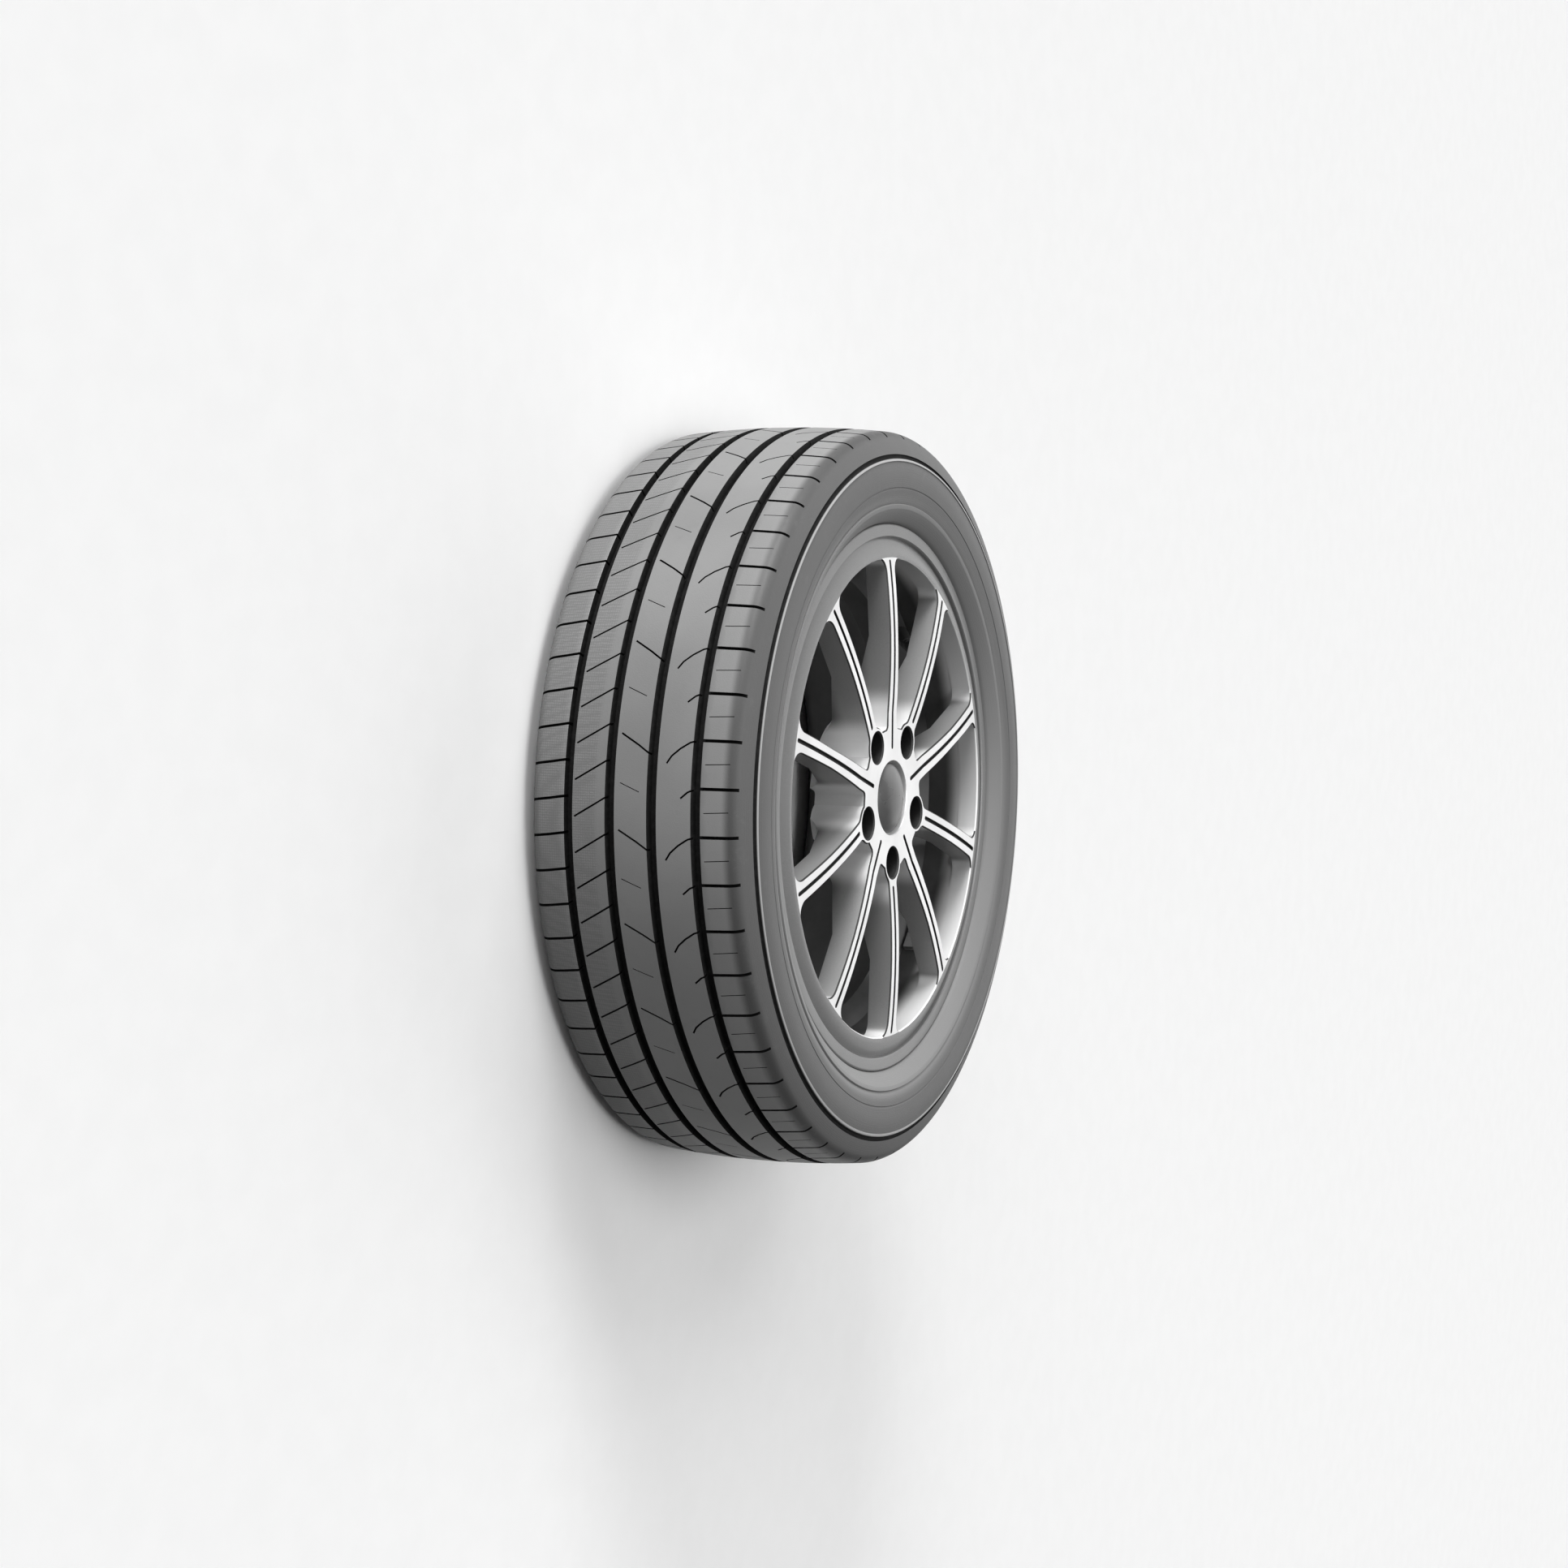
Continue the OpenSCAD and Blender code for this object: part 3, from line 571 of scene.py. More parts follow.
def wheel_section():
    """Closed section of the barrel and the disc, before the windows are cut."""
    flange_centre = (FLANGE_TOP_R - FLANGE_R, RIM_HALF_W + FLANGE_R)
    heel_centre = (SEAT_R + HEEL_R, RIM_HALF_W - HEEL_R)
    seat_end = RIM_HALF_W - SEAT_W
    outer = (
        arc((FLANGE_TOP_R - 2, LIP_Z - 2), 2, 90, 0, 4)
        + arc(flange_centre, FLANGE_R, 0, -90, 10)
        + arc(heel_centre, HEEL_R, 90, 180, 6)
        + [(SEAT_IN_R, seat_end), (SEAT_IN_R + HUMP_H, seat_end - HUMP_RUN * 0.4),
           (SEAT_IN_R + HUMP_H, seat_end - HUMP_RUN * 0.6), tuple(SLOPE_TOP)]
    )
    inner_mid = SLOPE_MID + SLOPE_NORMAL * BARREL_T

    def on_slope(r):
        return (r, inner_mid.y + (r - inner_mid.x) * SLOPE_RUN.y / SLOPE_RUN.x)

    relief_r = BORE_R + BORE_RELIEF
    seat_gap_r = CAP_R + CAP_SEAT_GAP
    back_z = RING_Z - SPOKE_T
    step_r = FLANGE_TOP_R - LIP_W
    barrel = (
        outer
        + [tuple(SLOPE_FOOT), (WELL_R, WELL_IN_Z), (LEG_R, WELL_IN_Z - 17)]
        + far_side(outer)
        + [(FLANGE_TOP_R - 6, -LIP_Z), (FLANGE_TOP_R - 11, -LIP_Z + 4),
           (SEAT_R - BARREL_T + 1, -RIM_HALF_W + 4), (LEG_R - BARREL_T, -RIM_HALF_W + SEAT_W + HUMP_RUN),
           (LEG_R - BARREL_T, WELL_IN_Z - 20), (WELL_R - BARREL_T, WELL_IN_Z - 1),
           on_slope(WELL_R - BARREL_T), on_slope(WINDOW_R)]
    )
    back = [
        (WINDOW_R, back_z), (WINDOW_R - 8, back_z), (MID_R, back_z + 2), (PAD_R + 18, HUB_Z - SPOKE_ROOT_T),
        (PAD_R + 4, MOUNT_Z + 6), (PAD_R, MOUNT_Z + 2), (PAD_R - 2, MOUNT_Z),
    ]
    bores = [
        (BORE_R + BORE_CHAMFER, MOUNT_Z), (BORE_R, MOUNT_Z + BORE_CHAMFER), (BORE_R, MOUNT_Z + BORE_L),
        (relief_r, MOUNT_Z + BORE_L), (relief_r, CAP_LEDGE_Z), (CAP_BORE_R, CAP_LEDGE_Z),
        (CAP_BORE_R, CAP_SEAT_Z), (seat_gap_r, CAP_SEAT_Z), (seat_gap_r, HUB_Z - 0.6),
        (seat_gap_r + 0.6, HUB_Z),
    ]
    lip = [
        (step_r - 1, LIP_Z - LIP_STEP + 0.4), (step_r, LIP_Z - LIP_STEP),
        (step_r + 0.6, LIP_Z - 0.8), (step_r + 1.5, LIP_Z),
    ]
    return barrel + back + bores + FACE_LINE[1:-1] + lip


def beside(along, off, side):
    """A point beside a spoke: along it, and off its middle line towards the window's middle."""
    a = math.radians(HALF_STEP)
    return (along * math.cos(a) + off * math.sin(a), side * (along * math.sin(a) - off * math.cos(a)))


def window_outline():
    """Outline of one window, with a bolt pocket's boss on the side of larger angles."""
    edge_r = WINDOW_R - WINDOW_SKIN
    end_off, mid_off = SPOKE_END_W / 2, SPOKE_W / 2
    reach = math.sqrt(edge_r ** 2 - end_off ** 2)
    bolt_out, plain_out = beside(reach, end_off, 1), beside(reach, end_off, -1)
    bolt_mid, plain_mid = beside(MID_R, mid_off, 1), beside(MID_R, mid_off, -1)
    half_turn = math.degrees(math.atan2(bolt_out[1], bolt_out[0]))
    rim = arc((0, 0), edge_r, -half_turn * 0.62, half_turn * 0.62, 8)
    fillet_off = mid_off + BOSS_FILLET
    reach_in = LUG_R + math.sqrt((BOSS_R + BOSS_FILLET) ** 2 - fillet_off ** 2)
    touch = math.degrees(math.atan2(fillet_off, reach_in - LUG_R))
    boss = arc((reach_in, fillet_off), BOSS_FILLET, -90, -180 + touch, 5)
    boss += arc((LUG_R, 0), BOSS_R, touch + 7, 78, 4)
    boss = [beside(along, off, 1) for along, off in boss]
    inner = beside(WINDOW_IN_R, mid_off + 1.5, -1)
    return (
        corner(plain_mid, plain_out, rim[0], WINDOW_CORNER_R, 9)
        + rim[1:-1]
        + corner(rim[-1], bolt_out, bolt_mid, WINDOW_CORNER_R, 9)
        + [bolt_mid]
        + boss
        + corner(boss[-1], inner, plain_mid, 4, 6)
        + [plain_mid]
    )


def sunk(name, outline, levels):
    """A cutter that goes down through an outline. Each level has how far the outline grows and a height,
    which is fixed or measured from the styled face."""
    loops = []
    for growth, height, on_face in levels:
        loop = grown(outline, growth)
        loops.append([(x, y, height + (face_at(math.hypot(x, y)) if on_face else 0)) for x, y in loop])
    return lofted(name, loops)


def slit(start, end, width):
    """Outline of a long slot with round ends, along the X axis."""
    half = width / 2
    return arc((end - half, 0), half, -90, 90, 8) + arc((start + half, 0), half, 90, 270, 8)


def turned(outline, degrees, mirrored=False):
    """An outline turned about the wheel axis, mirrored first if asked, and still anticlockwise."""
    if mirrored:
        outline = [(x, -y) for x, y in reversed(outline)]
    c, s = math.cos(math.radians(degrees)), math.sin(math.radians(degrees))
    return [(x * c - y * s, x * s + y * c) for x, y in outline]


def divided(outline, longest):
    """An outline with its long edges divided."""
    points = []
    for k, point in enumerate(outline):
        a, b = Vector(point), Vector(outline[(k + 1) % len(outline)])
        parts = max(1, math.ceil((b - a).length / longest))
        points += [tuple(a + (b - a) * j / parts) for j in range(parts)]
    return points


def bolt_pocket():
    """Cutter of one bolt hole, with its cone seat and its pocket in the face."""
    seat = MOUNT_Z + BOLT_LAND
    cone = (POCKET_R - BOLT_HOLE_R) * 0.8
    edge_r = POCKET_R + 2 * EDGE
    section = [
        (0, MOUNT_Z - 1), (BOLT_HOLE_R, MOUNT_Z - 1), (BOLT_HOLE_R, seat), (POCKET_R, seat + cone),
        (POCKET_R, HUB_Z - EDGE), (edge_r, HUB_Z + EDGE + 0.4), (edge_r, HUB_Z + 20), (0, HUB_Z + 20),
    ]
    return placed(spun("pocket_cutter", section, 56, closed=False), Matrix.Translation((LUG_R, 0, 0)))


def mounting_relief():
    """Cutter of one relief in the mounting face, between two bolt holes."""
    top = MOUNT_Z + RELIEF_DEPTH
    section = [(0, MOUNT_Z - 1), (RELIEF_R, MOUNT_Z - 1), (RELIEF_R, top - 1), (RELIEF_R - 1, top), (0, top)]
    return placed(spun("relief_cutter", section, 40, closed=False), Matrix.Translation((LUG_R, 0, 0)))


def valve_hole():
    """Cutter of the hole that the valve snaps into."""
    section = [(0, -2), (VALVE_HOLE_R, -2), (VALVE_HOLE_R, BARREL_T + 2), (0, BARREL_T + 2)]
    return placed(spun("valve_cutter", section, 40, closed=False), valve_frame())


def wheel_cutters(finishes):
    """Windows, channels, bolt pockets and reliefs, each with the finish of its walls."""
    window = divided(window_outline(), 14)
    above = HUB_Z + 30
    walls = [(0, MOUNT_Z - 2, False), (0, -EDGE, True), (EDGE * 2, EDGE, True), (EDGE * 2, above, False)]
    channel_levels = [(-0.5, -CHANNEL_DEPTH, True), (0, -CHANNEL_DEPTH + 0.6, True), (0, -0.3, True),
                      (0.9, 0.6, True), (0.9, above, False)]
    back_top = RING_Z - SPOKE_T + BACK_CHANNEL_DEPTH
    painted, dark = [], []
    step = 360 / BOLTS
    for k in range(BOLTS):
        lug = FIRST_LUG + k * step
        for side in (0, 1):
            spoke = lug + side * 2 * HALF_STEP
            painted.append(sunk("window_cutter", turned(window, spoke - HALF_STEP, bool(side)), walls))
            start = CAP_R + 12 if side else LUG_R + BOSS_R + 3
            line = divided(slit(start, WINDOW_R - 2, CHANNEL_W), 12)
            dark.append(sunk("channel_cutter", turned(line, spoke), channel_levels))
            behind = prism("back_cutter", slit(PAD_R + 8, WINDOW_R - 14, BACK_CHANNEL_W), 0, back_top)
            painted.append(round_axis(behind, spoke))
        dark.append(round_axis(bolt_pocket(), lug))
        painted.append(round_axis(mounting_relief(), lug + step / 2))
    painted.append(valve_hole())
    painted = with_slots(joined("painted_cutters", painted), finishes, 1)
    # The channels and bolt pockets are cut with the near-black colour, as painted shade.
    dark = with_slots(joined("dark_cutters", dark), finishes, 2)
    return joined("wheel_cutters", [painted, dark])


def valve_frame():
    """Place of the valve: its axis stands on the slope beside the well."""
    tilt = -math.acos(SLOPE_NORMAL.y)
    turn = Matrix.Rotation(math.radians(VALVE_TURN), 4, "Z")
    return turn @ Matrix.Translation((VALVE_POINT.x, 0, VALVE_POINT.y)) @ Matrix.Rotation(tilt, 4, "Y")


def make_wheel(machined, painted, channel_shade, lip_paint):
    """The cast wheel, with a turned face and painted walls."""
    finishes = [machined, painted, channel_shade, lip_paint]
    wheel = with_slots(spun("cast_wheel", wheel_section(), WHEEL_STEPS), finishes, 1)
    centres, normals = centres_and_normals(wheel)
    radii = np.hypot(centres[:, 0], centres[:, 1])
    on_face = (radii < FLANGE_TOP_R - 0.9) & (centres[:, 2] > LIP_Z - LIP_STEP - 0.1)
    refinish(wheel, on_face & (normals[:, 2] > 0.25), 0)
    refinish(wheel, (radii > WINDOW_R) & (centres[:, 2] > RIM_HALF_W), 3)
    cut(wheel, wheel_cutters(finishes))
    centres, normals = centres_and_normals(wheel)
    radii = np.hypot(centres[:, 0], centres[:, 1])
    faces = np.interp(radii, *zip(*FACE_LINE))
    # The sloped edges round the windows get the near-black channel colour, as painted shade.
    sloped = (normals[:, 2] > 0.4) & (normals[:, 2] < 0.9) & (centres[:, 2] > faces - EDGE - 0.1)
    refinish(wheel, sloped & (radii > CAP_R + 4) & (radii < WINDOW_R - 0.5), 2)
    return smooth(wheel)


def make_cap(plastic):
    """The centre cap: a dome with clip legs below it."""
    top = CAP_SEAT_Z + CAP_EDGE_T
    dome_r = (CAP_R ** 2 + CAP_DOME_H ** 2) / (2 * CAP_DOME_H)
    dome_z = top + CAP_DOME_H - dome_r
    dome_turn = math.degrees(math.asin(CAP_R / dome_r))
    leg_r = CAP_BORE_R - 0.3
    inner_r = leg_r - CAP_WALL
    foot_z = CAP_LEDGE_Z - 4
    dome = arc((0, dome_z), dome_r, 90, 90 - dome_turn, 16)[:-1]
    section = (
        dome
        + [(CAP_R - 0.35, top - 0.1), (CAP_R, top - 0.6), (CAP_R, CAP_SEAT_Z + 0.3),
           (CAP_R - 0.3, CAP_SEAT_Z), (leg_r, CAP_SEAT_Z), (leg_r, CAP_LEDGE_Z - 0.3),
           (leg_r + 1.2, CAP_LEDGE_Z - 0.6), (leg_r, foot_z), (inner_r, foot_z), (inner_r, top - CAP_WALL),
           (0, top + CAP_DOME_H - 2 * CAP_WALL)]
    )
    cap = with_slots(spun("domed_cap", section, 96, closed=False), [plastic])
    half, outer_r = CLIP_NOTCH_W / 2, inner_r + 6
    outline = [(inner_r - 2, -half), (outer_r, -half), (outer_r, half), (inner_r - 2, half)]
    notch = prism("cap_notch", outline, foot_z - 1, foot_z + CAP_SEAT_Z - CAP_LEDGE_Z + 1)
    notches = repeat_round(notch, CLIPS, 360 / CLIPS, 180 / CLIPS)
    return smooth(cut(cap, with_slots(notches, [plastic])), 28)


def fluted_ring(radius, height, depth=0.0):
    """One level of the screw cap's skin, with flutes sunk by a share of its radius."""
    points = []
    for k in range(4 * FLUTES):
        turn = 2 * math.pi * k / (4 * FLUTES)
        reach = radius * (1 - depth * (k % 4 in (2, 3)))
        points.append((reach * math.cos(turn), reach * math.sin(turn), height))
    return points


def valve_body(low, top):
    """The valve's rubber body, from its foot inside the barrel to the end of its neck."""
    hole_r = VALVE_HOLE_R - SMALL_GAP
    return spun("valve_body", [
        (STEM_R, -3.5), (VALVE_FOOT_R - 1.5, -3.5), (VALVE_FOOT_R - 0.5, -2.6), (VALVE_FOOT_R, -1.5),
        (VALVE_FOOT_R, -SMALL_GAP - 0.2), (VALVE_FOOT_R - 0.2, -SMALL_GAP), (hole_r, -SMALL_GAP),
        (hole_r, low), (hole_r + 1.6, low), (hole_r + 1.8, low + 0.3), (hole_r + 1.6, low + 5),
        (STEM_R + 2.6, low + 8), (STEM_R + 2.1, low + 12), (STEM_R + 1.6, top - 3.2),
        (STEM_R + 1.2, top - 2.8), (STEM_R + 1.2, top - 0.3), (STEM_R + 0.9, top), (STEM_R, top)], 56)


def valve_screw_cap(start, plastic):
    """The valve's fluted screw cap, bored for the stem."""
    end = start + STEM_L + 0.6
    bore_end = start + STEM_L + 0.1
    cap = lofted("valve_screw_cap", [
        fluted_ring(VALVE_CAP_R - 0.3, start), fluted_ring(VALVE_CAP_R, start + 0.3),
        fluted_ring(VALVE_CAP_R, start + 1.4), fluted_ring(VALVE_CAP_R, start + 1.8, FLUTE_DEPTH),
        fluted_ring(VALVE_CAP_R, end - 0.6, FLUTE_DEPTH), fluted_ring(VALVE_CAP_R - 0.5, end + 0.4),
        fluted_ring(VALVE_CAP_R - 1.4, end + 1.4), fluted_ring(VALVE_CAP_R - 2.2, end + 1.6)])
    bore_r = STEM_R + SMALL_GAP
    section = [(0, start - 1), (bore_r, start - 1), (bore_r, bore_end), (0, bore_end)]
    bore = spun("valve_cap_bore", section, 48, closed=False)
    return cut(with_slots(cap, [plastic]), with_slots(bore, [plastic]))


def make_valve(rubber, plastic):
    """The valve's rubber body and its screw cap."""
    low = BARREL_T + VALVE_SEAT_GAP
    top = low + VALVE_BODY_L
    body = smooth(with_slots(placed(valve_body(low, top), valve_frame()), [rubber]))
    return body, smooth(placed(valve_screw_cap(top + SMALL_GAP, plastic), valve_frame()))


def from_node(node, name, finish, rounding=0.0):
    """A small piece that keeps the solid's own form, cleaned, rounded at its edges and finished."""
    piece = bpy.data.objects.new(name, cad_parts[node].data.copy())
    bpy.context.scene.collection.objects.link(piece)
    piece.data.materials.clear()
    take(piece)
    bpy.ops.object.mode_set(mode="EDIT")
    close_up()
    bpy.ops.mesh.dissolve_limited(angle_limit=math.radians(1))
    rest_mode()
    take(piece)
    if rounding:
        bevel = piece.modifiers.new("edges", "BEVEL")
        bevel.width = rounding * MM
        bevel.segments = 2
        bevel.angle_limit = math.radians(50)
        bpy.ops.object.modifier_apply(modifier=bevel.name)
    return smooth(with_slots(piece, [finish]))


class Value:
    """A value inside a finish, which ordinary signs combine."""

    def __init__(self, finish, socket):
        self.finish, self.socket = finish, socket

    def math(self, operation, a, b):
        return self.finish.node("ShaderNodeMath", {"operation": operation}, {0: a, 1: b})

    def __add__(self, other):
        return self.math("ADD", self, other)

    def __sub__(self, other):
        return self.math("SUBTRACT", self, other)

    def __rsub__(self, other):
        return self.math("SUBTRACT", other, self)

    def __mul__(self, other):
        return self.math("MULTIPLY", self, other)

    def __pow__(self, other):
        return self.math("POWER", self, other)

    __radd__ = __add__
    __rmul__ = __mul__

    def eased(self, low, high):
        """Runs from 0 to 1 while the value runs from low to high."""
        return self.finish.node(
            "ShaderNodeMapRange", {"interpolation_type": "SMOOTHSTEP"},
            {"Value": self, "From Min": low, "From Max": high, "To Min": 0.0, "To Max": 1.0})


class Finish:
    """A material under construction."""

    def __init__(self, name):
        self.material = bpy.data.materials.new(name)
        self.material.use_nodes = True
        self.tree = self.material.node_tree
        self.tree.nodes.clear()
        self.place = self.node("ShaderNodeTexCoord", output="Object")
        split = [self.node("ShaderNodeSeparateXYZ", {}, {0: self.place}, output=axis) for axis in "XYZ"]
        self.x, self.y, self.z = split
        self.radius = (self.x * self.x + self.y * self.y) ** 0.5

    def node(self, kind, settings=None, inputs=None, output=0):
        """Makes one node: its settings first, then what feeds it."""
        made = self.tree.nodes.new(kind)
        for key, value in (settings or {}).items():
            setattr(made, key, value)
        for key, value in (inputs or {}).items():
            if isinstance(value, Value):
                self.tree.links.new(value.socket, made.inputs[key])
            else:
                made.inputs[key].default_value = value
        return Value(self, made.outputs[output])

    def noise(self, scale, detail=2.0, roughness=0.5):
        """Noise over the place on the part, about 0 to 1."""
        return self.node("ShaderNodeTexNoise", {},
                         {"Vector": self.place, "Scale": scale, "Detail": detail, "Roughness": roughness})

    def rings(self, scale):
        """Fine rings round the wheel axis, about 0 to 1."""
        return self.node("ShaderNodeTexNoise", {"noise_dimensions": "1D"},
                         {"W": self.radius, "Scale": scale, "Detail": 2.0})

    def dots(self, scale):
        """Rows of fine dots: 0 at the middle of each."""
        return self.node("ShaderNodeTexVoronoi", {},
                         {"Vector": self.place, "Scale": scale, "Randomness": 0.15})

    def mix(self, share, first, second):
        """A colour between two."""
        return self.node("ShaderNodeMix", {"data_type": "RGBA"}, {0: share, 6: first, 7: second}, output=2)

    def bump(self, height, distance):
        """Fine relief: a height from 0 to 1 stands for a distance in metres."""
        return self.node("ShaderNodeBump", {}, {"Strength": 1.0, "Distance": distance, "Height": height})

    def done(self, **inputs):
        """Ends the finish with one surface."""
        sockets = {key.replace("_", " "): value for key, value in inputs.items()}
        return self.shown(self.node("ShaderNodeBsdfPrincipled", {}, sockets))

    def shown(self, surface):
        """Makes a surface the one that the material shows."""
        out = self.tree.nodes.new("ShaderNodeOutputMaterial")
        self.tree.links.new(surface.socket, out.inputs["Surface"])
        return self.material


def grey(level):
    """A plain grey."""
    return (level, level, level, 1.0)


def rubber_finish():
    """Tread and sidewall rubber: matt, lightly mottled, with fine grain and moulding rings, and a painted
    highlight along the ridge beside the styling line.
    """
    f = Finish("tread_rubber")
    cloud = f.noise(9.0, 3.0)
    grain = f.noise(900.0, 2.0)
    scuff = f.noise(60.0, 4.0, 0.7)
    dots = f.dots(480.0)
    outboard, knurled = f.z.eased(*OUTBOARD_Z), f.z.eased(*KNURL_Z)
    wall = f.radius.eased(*WALL_R)
    cone = f.radius.eased(*CONE_R) * wall
    ridge_highlight = f.radius.eased(*RIDGE_HIGHLIGHT_IN_R) * f.radius.eased(*RIDGE_HIGHLIGHT_OUT_R) * outboard
    tone = f.mix(cloud.eased(0.3, 0.7), grey(0.24), grey(0.28))
    tone = f.mix(knurled * dots.eased(0.25, 0.6) * 0.5, tone, grey(0.17))
    tone = f.mix(outboard * 0.9, tone, grey(0.06))
    tone = f.mix(wall * 0.6, tone, grey(0.13))
    tone = f.mix(cone * 0.8, tone, grey(0.24))
    # Painted highlight: the ridge inside the styling line is coloured pale, as if it caught the light.
    tone = f.mix(ridge_highlight, tone, grey(0.42))
    tone = f.mix(scuff.eased(0.55, 0.8) * 0.25, tone, grey(0.2))
    height = grain * 0.5 + f.rings(1400.0) * wall * 0.5 + knurled * dots
    return f.done(Base_Color=tone, Roughness=0.42 + cloud * 0.12 + scuff * 0.08,
                  Normal=f.bump(height, 0.00018), Specular_IOR_Level=0.5)


def groove_shade_finish():
    """Painted shade: near-black rubber colour for the grooves, slots, sipes and the styling line."""
    f = Finish("groove_shade")
    dust = f.noise(220.0, 3.0)
    tone = f.mix(dust.eased(0.4, 0.75), grey(0.008), grey(0.016))
    return f.done(Base_Color=tone, Roughness=0.78 + dust * 0.15,
                  Normal=f.bump(dust, 0.0002), Specular_IOR_Level=0.2)


def machined_finish():
    """Turned and clear-coated alloy with fine rings."""
    f = Finish("machined_alloy")
    rings = f.rings(5200.0)
    cloud = f.noise(25.0, 3.0)
    tone = f.mix(cloud.eased(0.3, 0.7), grey(0.74), grey(0.84))
    return f.done(Base_Color=tone, Metallic=0.7, Roughness=0.3 + rings * 0.1 + cloud * 0.06,
                  Normal=f.bump(rings, 0.00002), Coat_Weight=0.35 + cloud * 0.1, Coat_Roughness=0.12)


def painted_finish():
    """Silver paint with fine flakes, with near-black painted shade deep inside the wheel and painted
    highlights on the hub walls and the rim wall.
    """
    f = Finish("silver_paint")
    flakes = f.noise(2600.0, 1.0)
    cloud = f.noise(18.0, 4.0, 0.6)
    # Painted shade: the walls turn near-black deeper inside the wheel, below the face and away from the hub.
    inside = f.z.eased(*SHADE_DEPTH_Z) * f.radius.eased(*SHADE_DEPTH_R)
    hub, rim_wall_highlight = f.radius.eased(*HUB_HIGHLIGHT_R), f.radius.eased(*RIM_WALL_HIGHLIGHT_R)
    painted_shade_tone = f.mix(cloud.eased(0.3, 0.75), grey(0.05), grey(0.08))
    tone = f.mix(flakes.eased(0.35, 0.65), grey(0.35), grey(0.42))
    # Painted highlights: the hub walls and the rim wall round the windows are coloured near-white, as if
    # lit.
    tone = f.mix(hub, tone, grey(0.88))
    tone = f.mix(rim_wall_highlight, tone, grey(0.85))
    tone = f.mix(inside, tone, painted_shade_tone)
    return f.done(Base_Color=tone, Metallic=0.45 - hub * 0.35 - rim_wall_highlight * 0.3,
                  Roughness=0.36 + flakes * 0.08 + cloud * 0.14 + inside * 0.12,
                  Normal=f.bump(flakes + cloud * 0.6, 0.00004), Coat_Weight=0.3, Coat_Roughness=0.15)


def lip_finish():
    """Satin grey paint on the lip and on the ring round the windows."""
    f = Finish("lip_paint")
    flakes = f.noise(2600.0, 1.0)
    cloud = f.noise(22.0, 4.0, 0.6)
    tone = f.mix(flakes.eased(0.35, 0.65), grey(0.2), grey(0.26))
    height = flakes + f.rings(2500.0) * 0.5
    return f.done(Base_Color=tone, Metallic=0.35, Roughness=0.38 + flakes * 0.08 + cloud * 0.12,
                  Normal=f.bump(height, 0.00003), Coat_Weight=0.3, Coat_Roughness=0.15)


def channel_shade_finish():
    """Painted shade: near-black colour in the channels, the bolt pockets and the sloped edges round the
    windows.
    """
    f = Finish("painted_channel_shade")
    flakes = f.noise(1800.0, 2.0)
    tone = f.mix(flakes.eased(0.35, 0.7), grey(0.03), grey(0.05))
    return f.done(Base_Color=tone, Metallic=0.3, Roughness=0.42 + flakes * 0.14,
                  Normal=f.bump(flakes, 0.00004))


def plastic_finish(name, dark, light, roughness, grain):
    """Moulded plastic with slight texture."""
    f = Finish(name)
    fine = f.noise(grain, 2.0)
    cloud = f.noise(40.0, 3.0)
    tone = f.mix(cloud.eased(0.3, 0.7), grey(dark), grey(light))
    return f.done(Base_Color=tone, Roughness=roughness + cloud * 0.08, Normal=f.bump(fine, 0.00003))


def metal_finish(name, colour, second, roughness):
    """Bare metal with slight stains."""
    f = Finish(name)
    cloud = f.noise(160.0, 4.0, 0.6)
    fine = f.noise(3000.0, 2.0)
    tone = f.mix(cloud.eased(0.35, 0.7), colour, second)
    return f.done(Base_Color=tone, Metallic=0.9, Roughness=roughness + cloud * 0.15,
                  Normal=f.bump(fine, 0.00002))


def floor_finish():
    """Pale floor that looks white to the camera and keeps the shadow."""
    f = Finish("pale_floor")
    speck = f.noise(30.0, 3.0)
    rays = ("Is Camera Ray", "Is Glossy Ray", "Is Transmission Ray")
    seen = sum(f.node("ShaderNodeLightPath", output=ray) for ray in rays)
    tone = f.mix(seen, grey(0.12), f.mix(speck.eased(0.3, 0.7), grey(0.96), grey(0.98)))
    return f.shown(f.node("ShaderNodeBsdfDiffuse", {}, {"Color": tone}))


def dressed(piece, nodes):
    """A finished piece stands for its solids: it joins the body, and the solids are hidden."""
    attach(piece, BODY)
    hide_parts(*nodes)
    return piece


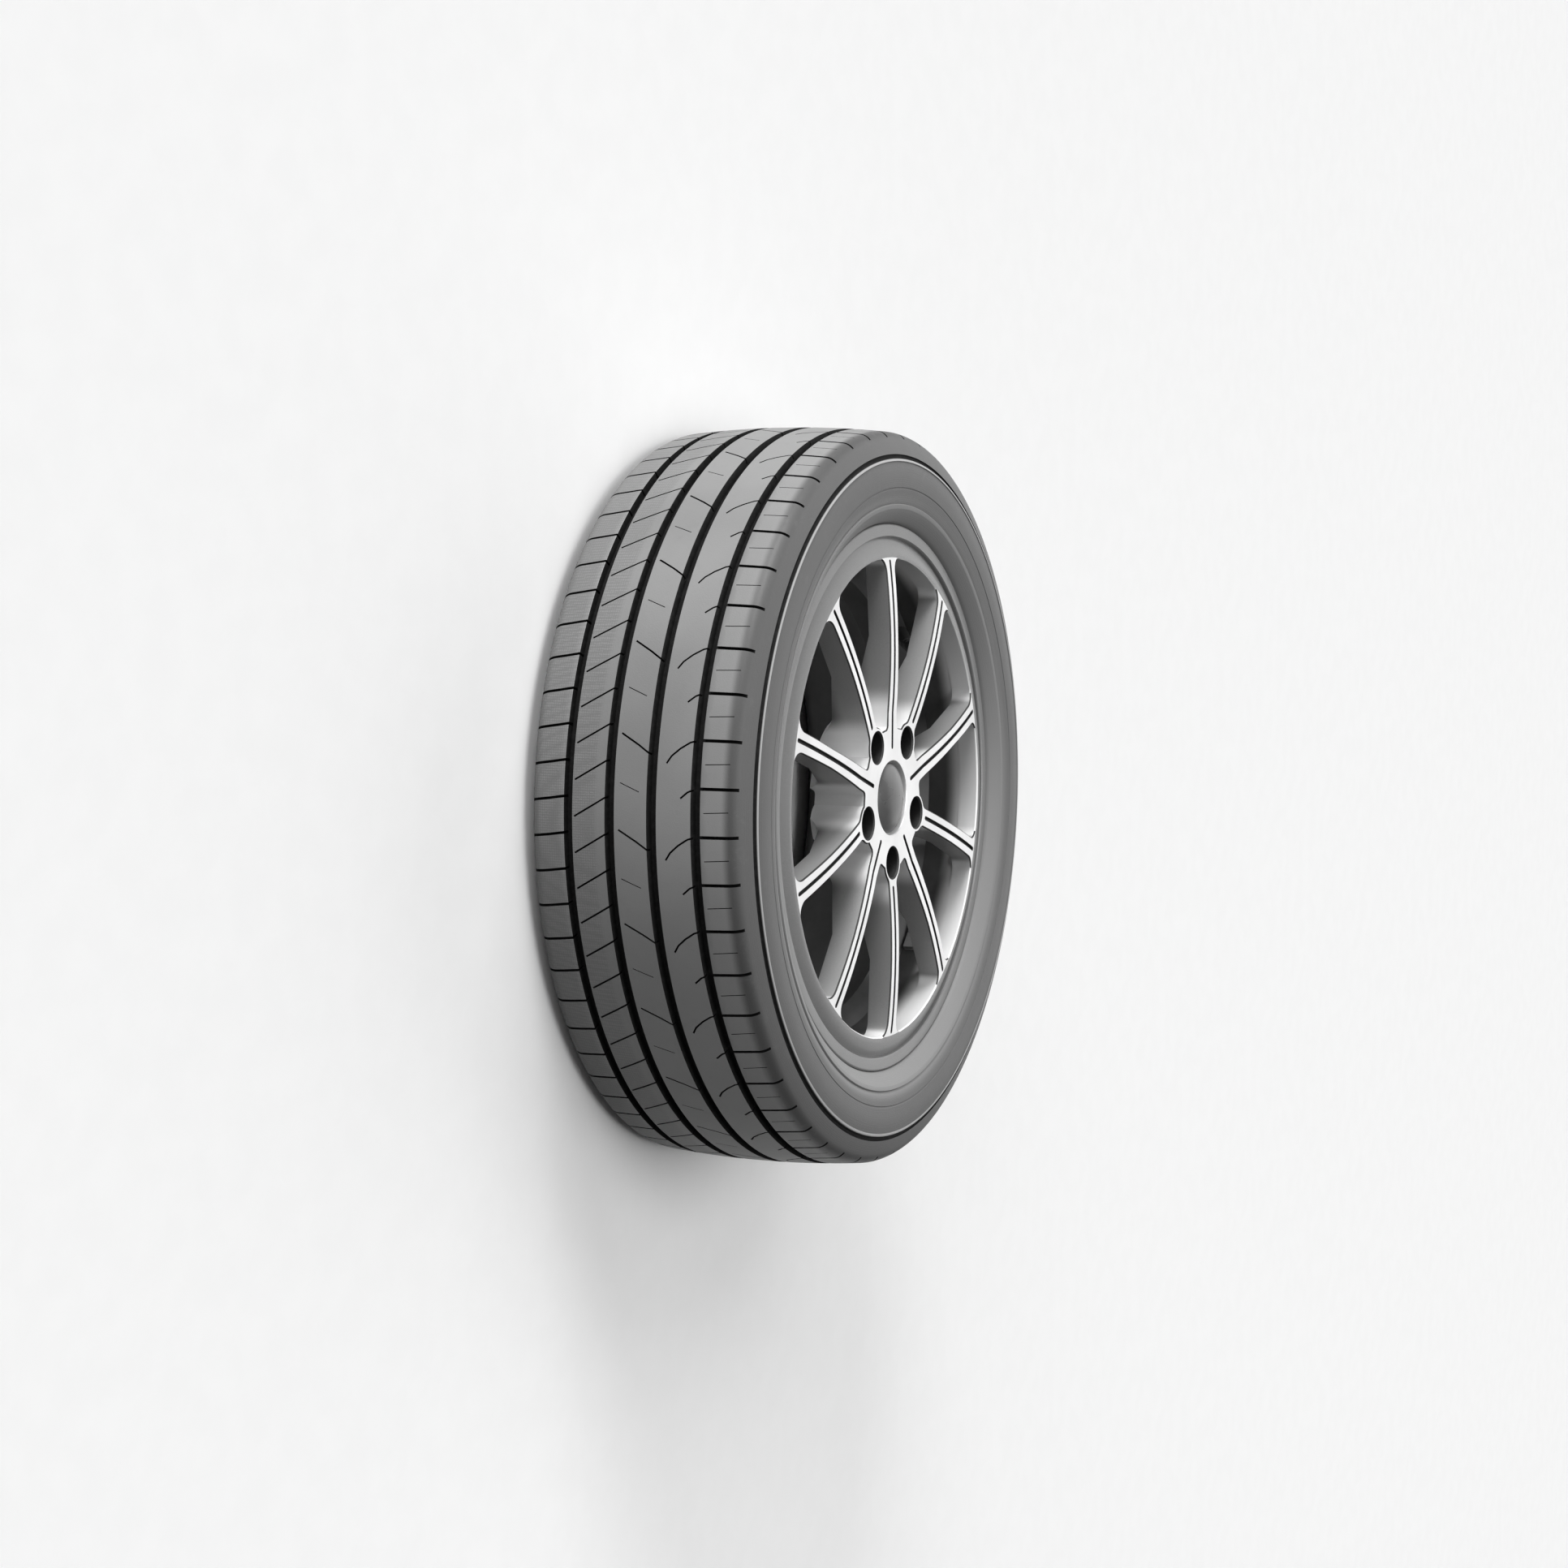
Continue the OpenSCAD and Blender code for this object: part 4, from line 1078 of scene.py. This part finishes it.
def build_part():
    """All the pieces of the wheel and tyre."""
    rubber, groove = rubber_finish(), groove_shade_finish()
    dressed(make_tyre(rubber, groove), ["tyre"])
    wheel = make_wheel(machined_finish(), painted_finish(), channel_shade_finish(), lip_finish())
    dressed(wheel, ["wheel"])
    cap_plastic = plastic_finish("cap_plastic", 0.09, 0.12, 0.24, 1500.0)
    dressed(make_cap(cap_plastic), ["centre_cap"])
    valve_rubber = plastic_finish("valve_rubber", 0.03, 0.045, 0.55, 900.0)
    screw_plastic = plastic_finish("valve_cap_plastic", 0.02, 0.03, 0.4, 1500.0)
    body, screw_cap = make_valve(valve_rubber, screw_plastic)
    dressed(body, ["valve_stem"])
    dressed(screw_cap, ["valve_cap"])
    steel = metal_finish("spring_steel", grey(0.55), grey(0.62), 0.25)
    brass = metal_finish("valve_brass", (0.66, 0.50, 0.24, 1.0), (0.58, 0.42, 0.2, 1.0), 0.28)
    zinc = metal_finish("weight_metal", grey(0.42), grey(0.5), 0.4)
    foam = plastic_finish("tape_foam", 0.6, 0.68, 0.8, 700.0)
    for node, name, finish, slot, rounding in (
        ("cap_spring_ring", "clip_ring", steel, "spring_steel", 0),
        ("valve_insert", "valve_tube", brass, "valve_brass", 0.15),
        ("valve_core", "valve_core_body", brass, "valve_brass", 0),
        ("valve_core_pin", "valve_pin", brass, "valve_brass", 0),
        ("valve_core_spring", "valve_spring", steel, "spring_steel", 0),
        ("balance_weights", "stick_on_weights", zinc, "weight_metal", 0.7),
        ("weight_tape", "weight_backing", foam, "tape_foam", 0),
    ):
        dressed(from_node(node, name, finish, rounding), [node])


def set_camera():
    """The camera stands where the photograph was taken; its picture is turned a quarter round."""
    t, e, r = (math.radians(a) for a in (CAMERA_TURN, CAMERA_LIFT, CAMERA_ROLL))
    back = Vector((-math.sin(t) * math.cos(e), math.sin(e), math.cos(t) * math.cos(e)))
    right = Vector((0, 1, 0)).cross(back).normalized()
    up = back.cross(right)
    across = right * math.cos(r) + up * math.sin(r)
    upwards = up * math.cos(r) - right * math.sin(r)
    lens = bpy.data.cameras.new("camera")
    lens.sensor_width = SENSOR_W
    lens.lens = CAMERA_FOCAL / PICTURE_SIDE * SENSOR_W
    lens.shift_x = (PICTURE_SIDE / 2 - PICTURE_MIDDLE[0]) / PICTURE_SIDE
    lens.shift_y = (PICTURE_MIDDLE[1] - PICTURE_SIDE / 2) / PICTURE_SIDE
    lens.clip_start, lens.clip_end = 0.1, 60.0
    camera = bpy.data.objects.new("camera", lens)
    bpy.context.scene.collection.objects.link(camera)
    facing = Matrix((across, upwards, back)).transposed().to_4x4()
    camera.matrix_world = Matrix.Translation(back * CAMERA_DISTANCE * MM) @ facing
    bpy.context.scene.camera = camera


def add_lamp(name, towards, spread, level):
    """A broad soft lamp far off in one direction; at level 1 it shows a white face as white."""
    light = bpy.data.lights.new(name, "SUN")
    light.angle, light.energy = math.radians(spread), level * math.pi
    lamp = bpy.data.objects.new(name, light)
    bpy.context.scene.collection.objects.link(lamp)
    lamp.location = Vector(towards).normalized() * 3
    lamp.rotation_mode = "QUATERNION"
    lamp.rotation_quaternion = Vector(towards).to_track_quat("Z", "Y")


def set_stage():
    """Floor, soft light and a pale surrounding."""
    rest_mode()
    bpy.ops.mesh.primitive_circle_add(vertices=96, radius=FLOOR_R, fill_type="NGON",
                                      location=(0, 0, -TYRE_HALF_W * MM))
    floor = bpy.context.object
    floor.name = "floor"
    floor.data.materials.append(floor_finish())
    add_lamp("top_lamp", (-0.24, 0.95, 0.14), 24, 0.98)
    add_lamp("key_lamp", (-0.72, 0.68, 0.22), 25, 0.22)
    add_lamp("high_lamp", (0.1, 0.8, 0.6), 35, 0.25)
    add_lamp("axis_lamp", (-0.25, 0.1, 1.0), 40, 0.42)
    add_lamp("side_lamp", (0.9, 0.1, 0.42), 60, 0.3)
    world = bpy.data.worlds.new("surroundings")
    bpy.context.scene.world = world
    world.use_nodes = True
    world.node_tree.nodes["Background"].inputs["Color"].default_value = grey(SURROUNDINGS)
    bpy.context.scene.view_settings.view_transform = "Standard"


build_part()
set_stage()
set_camera()
rest_mode()
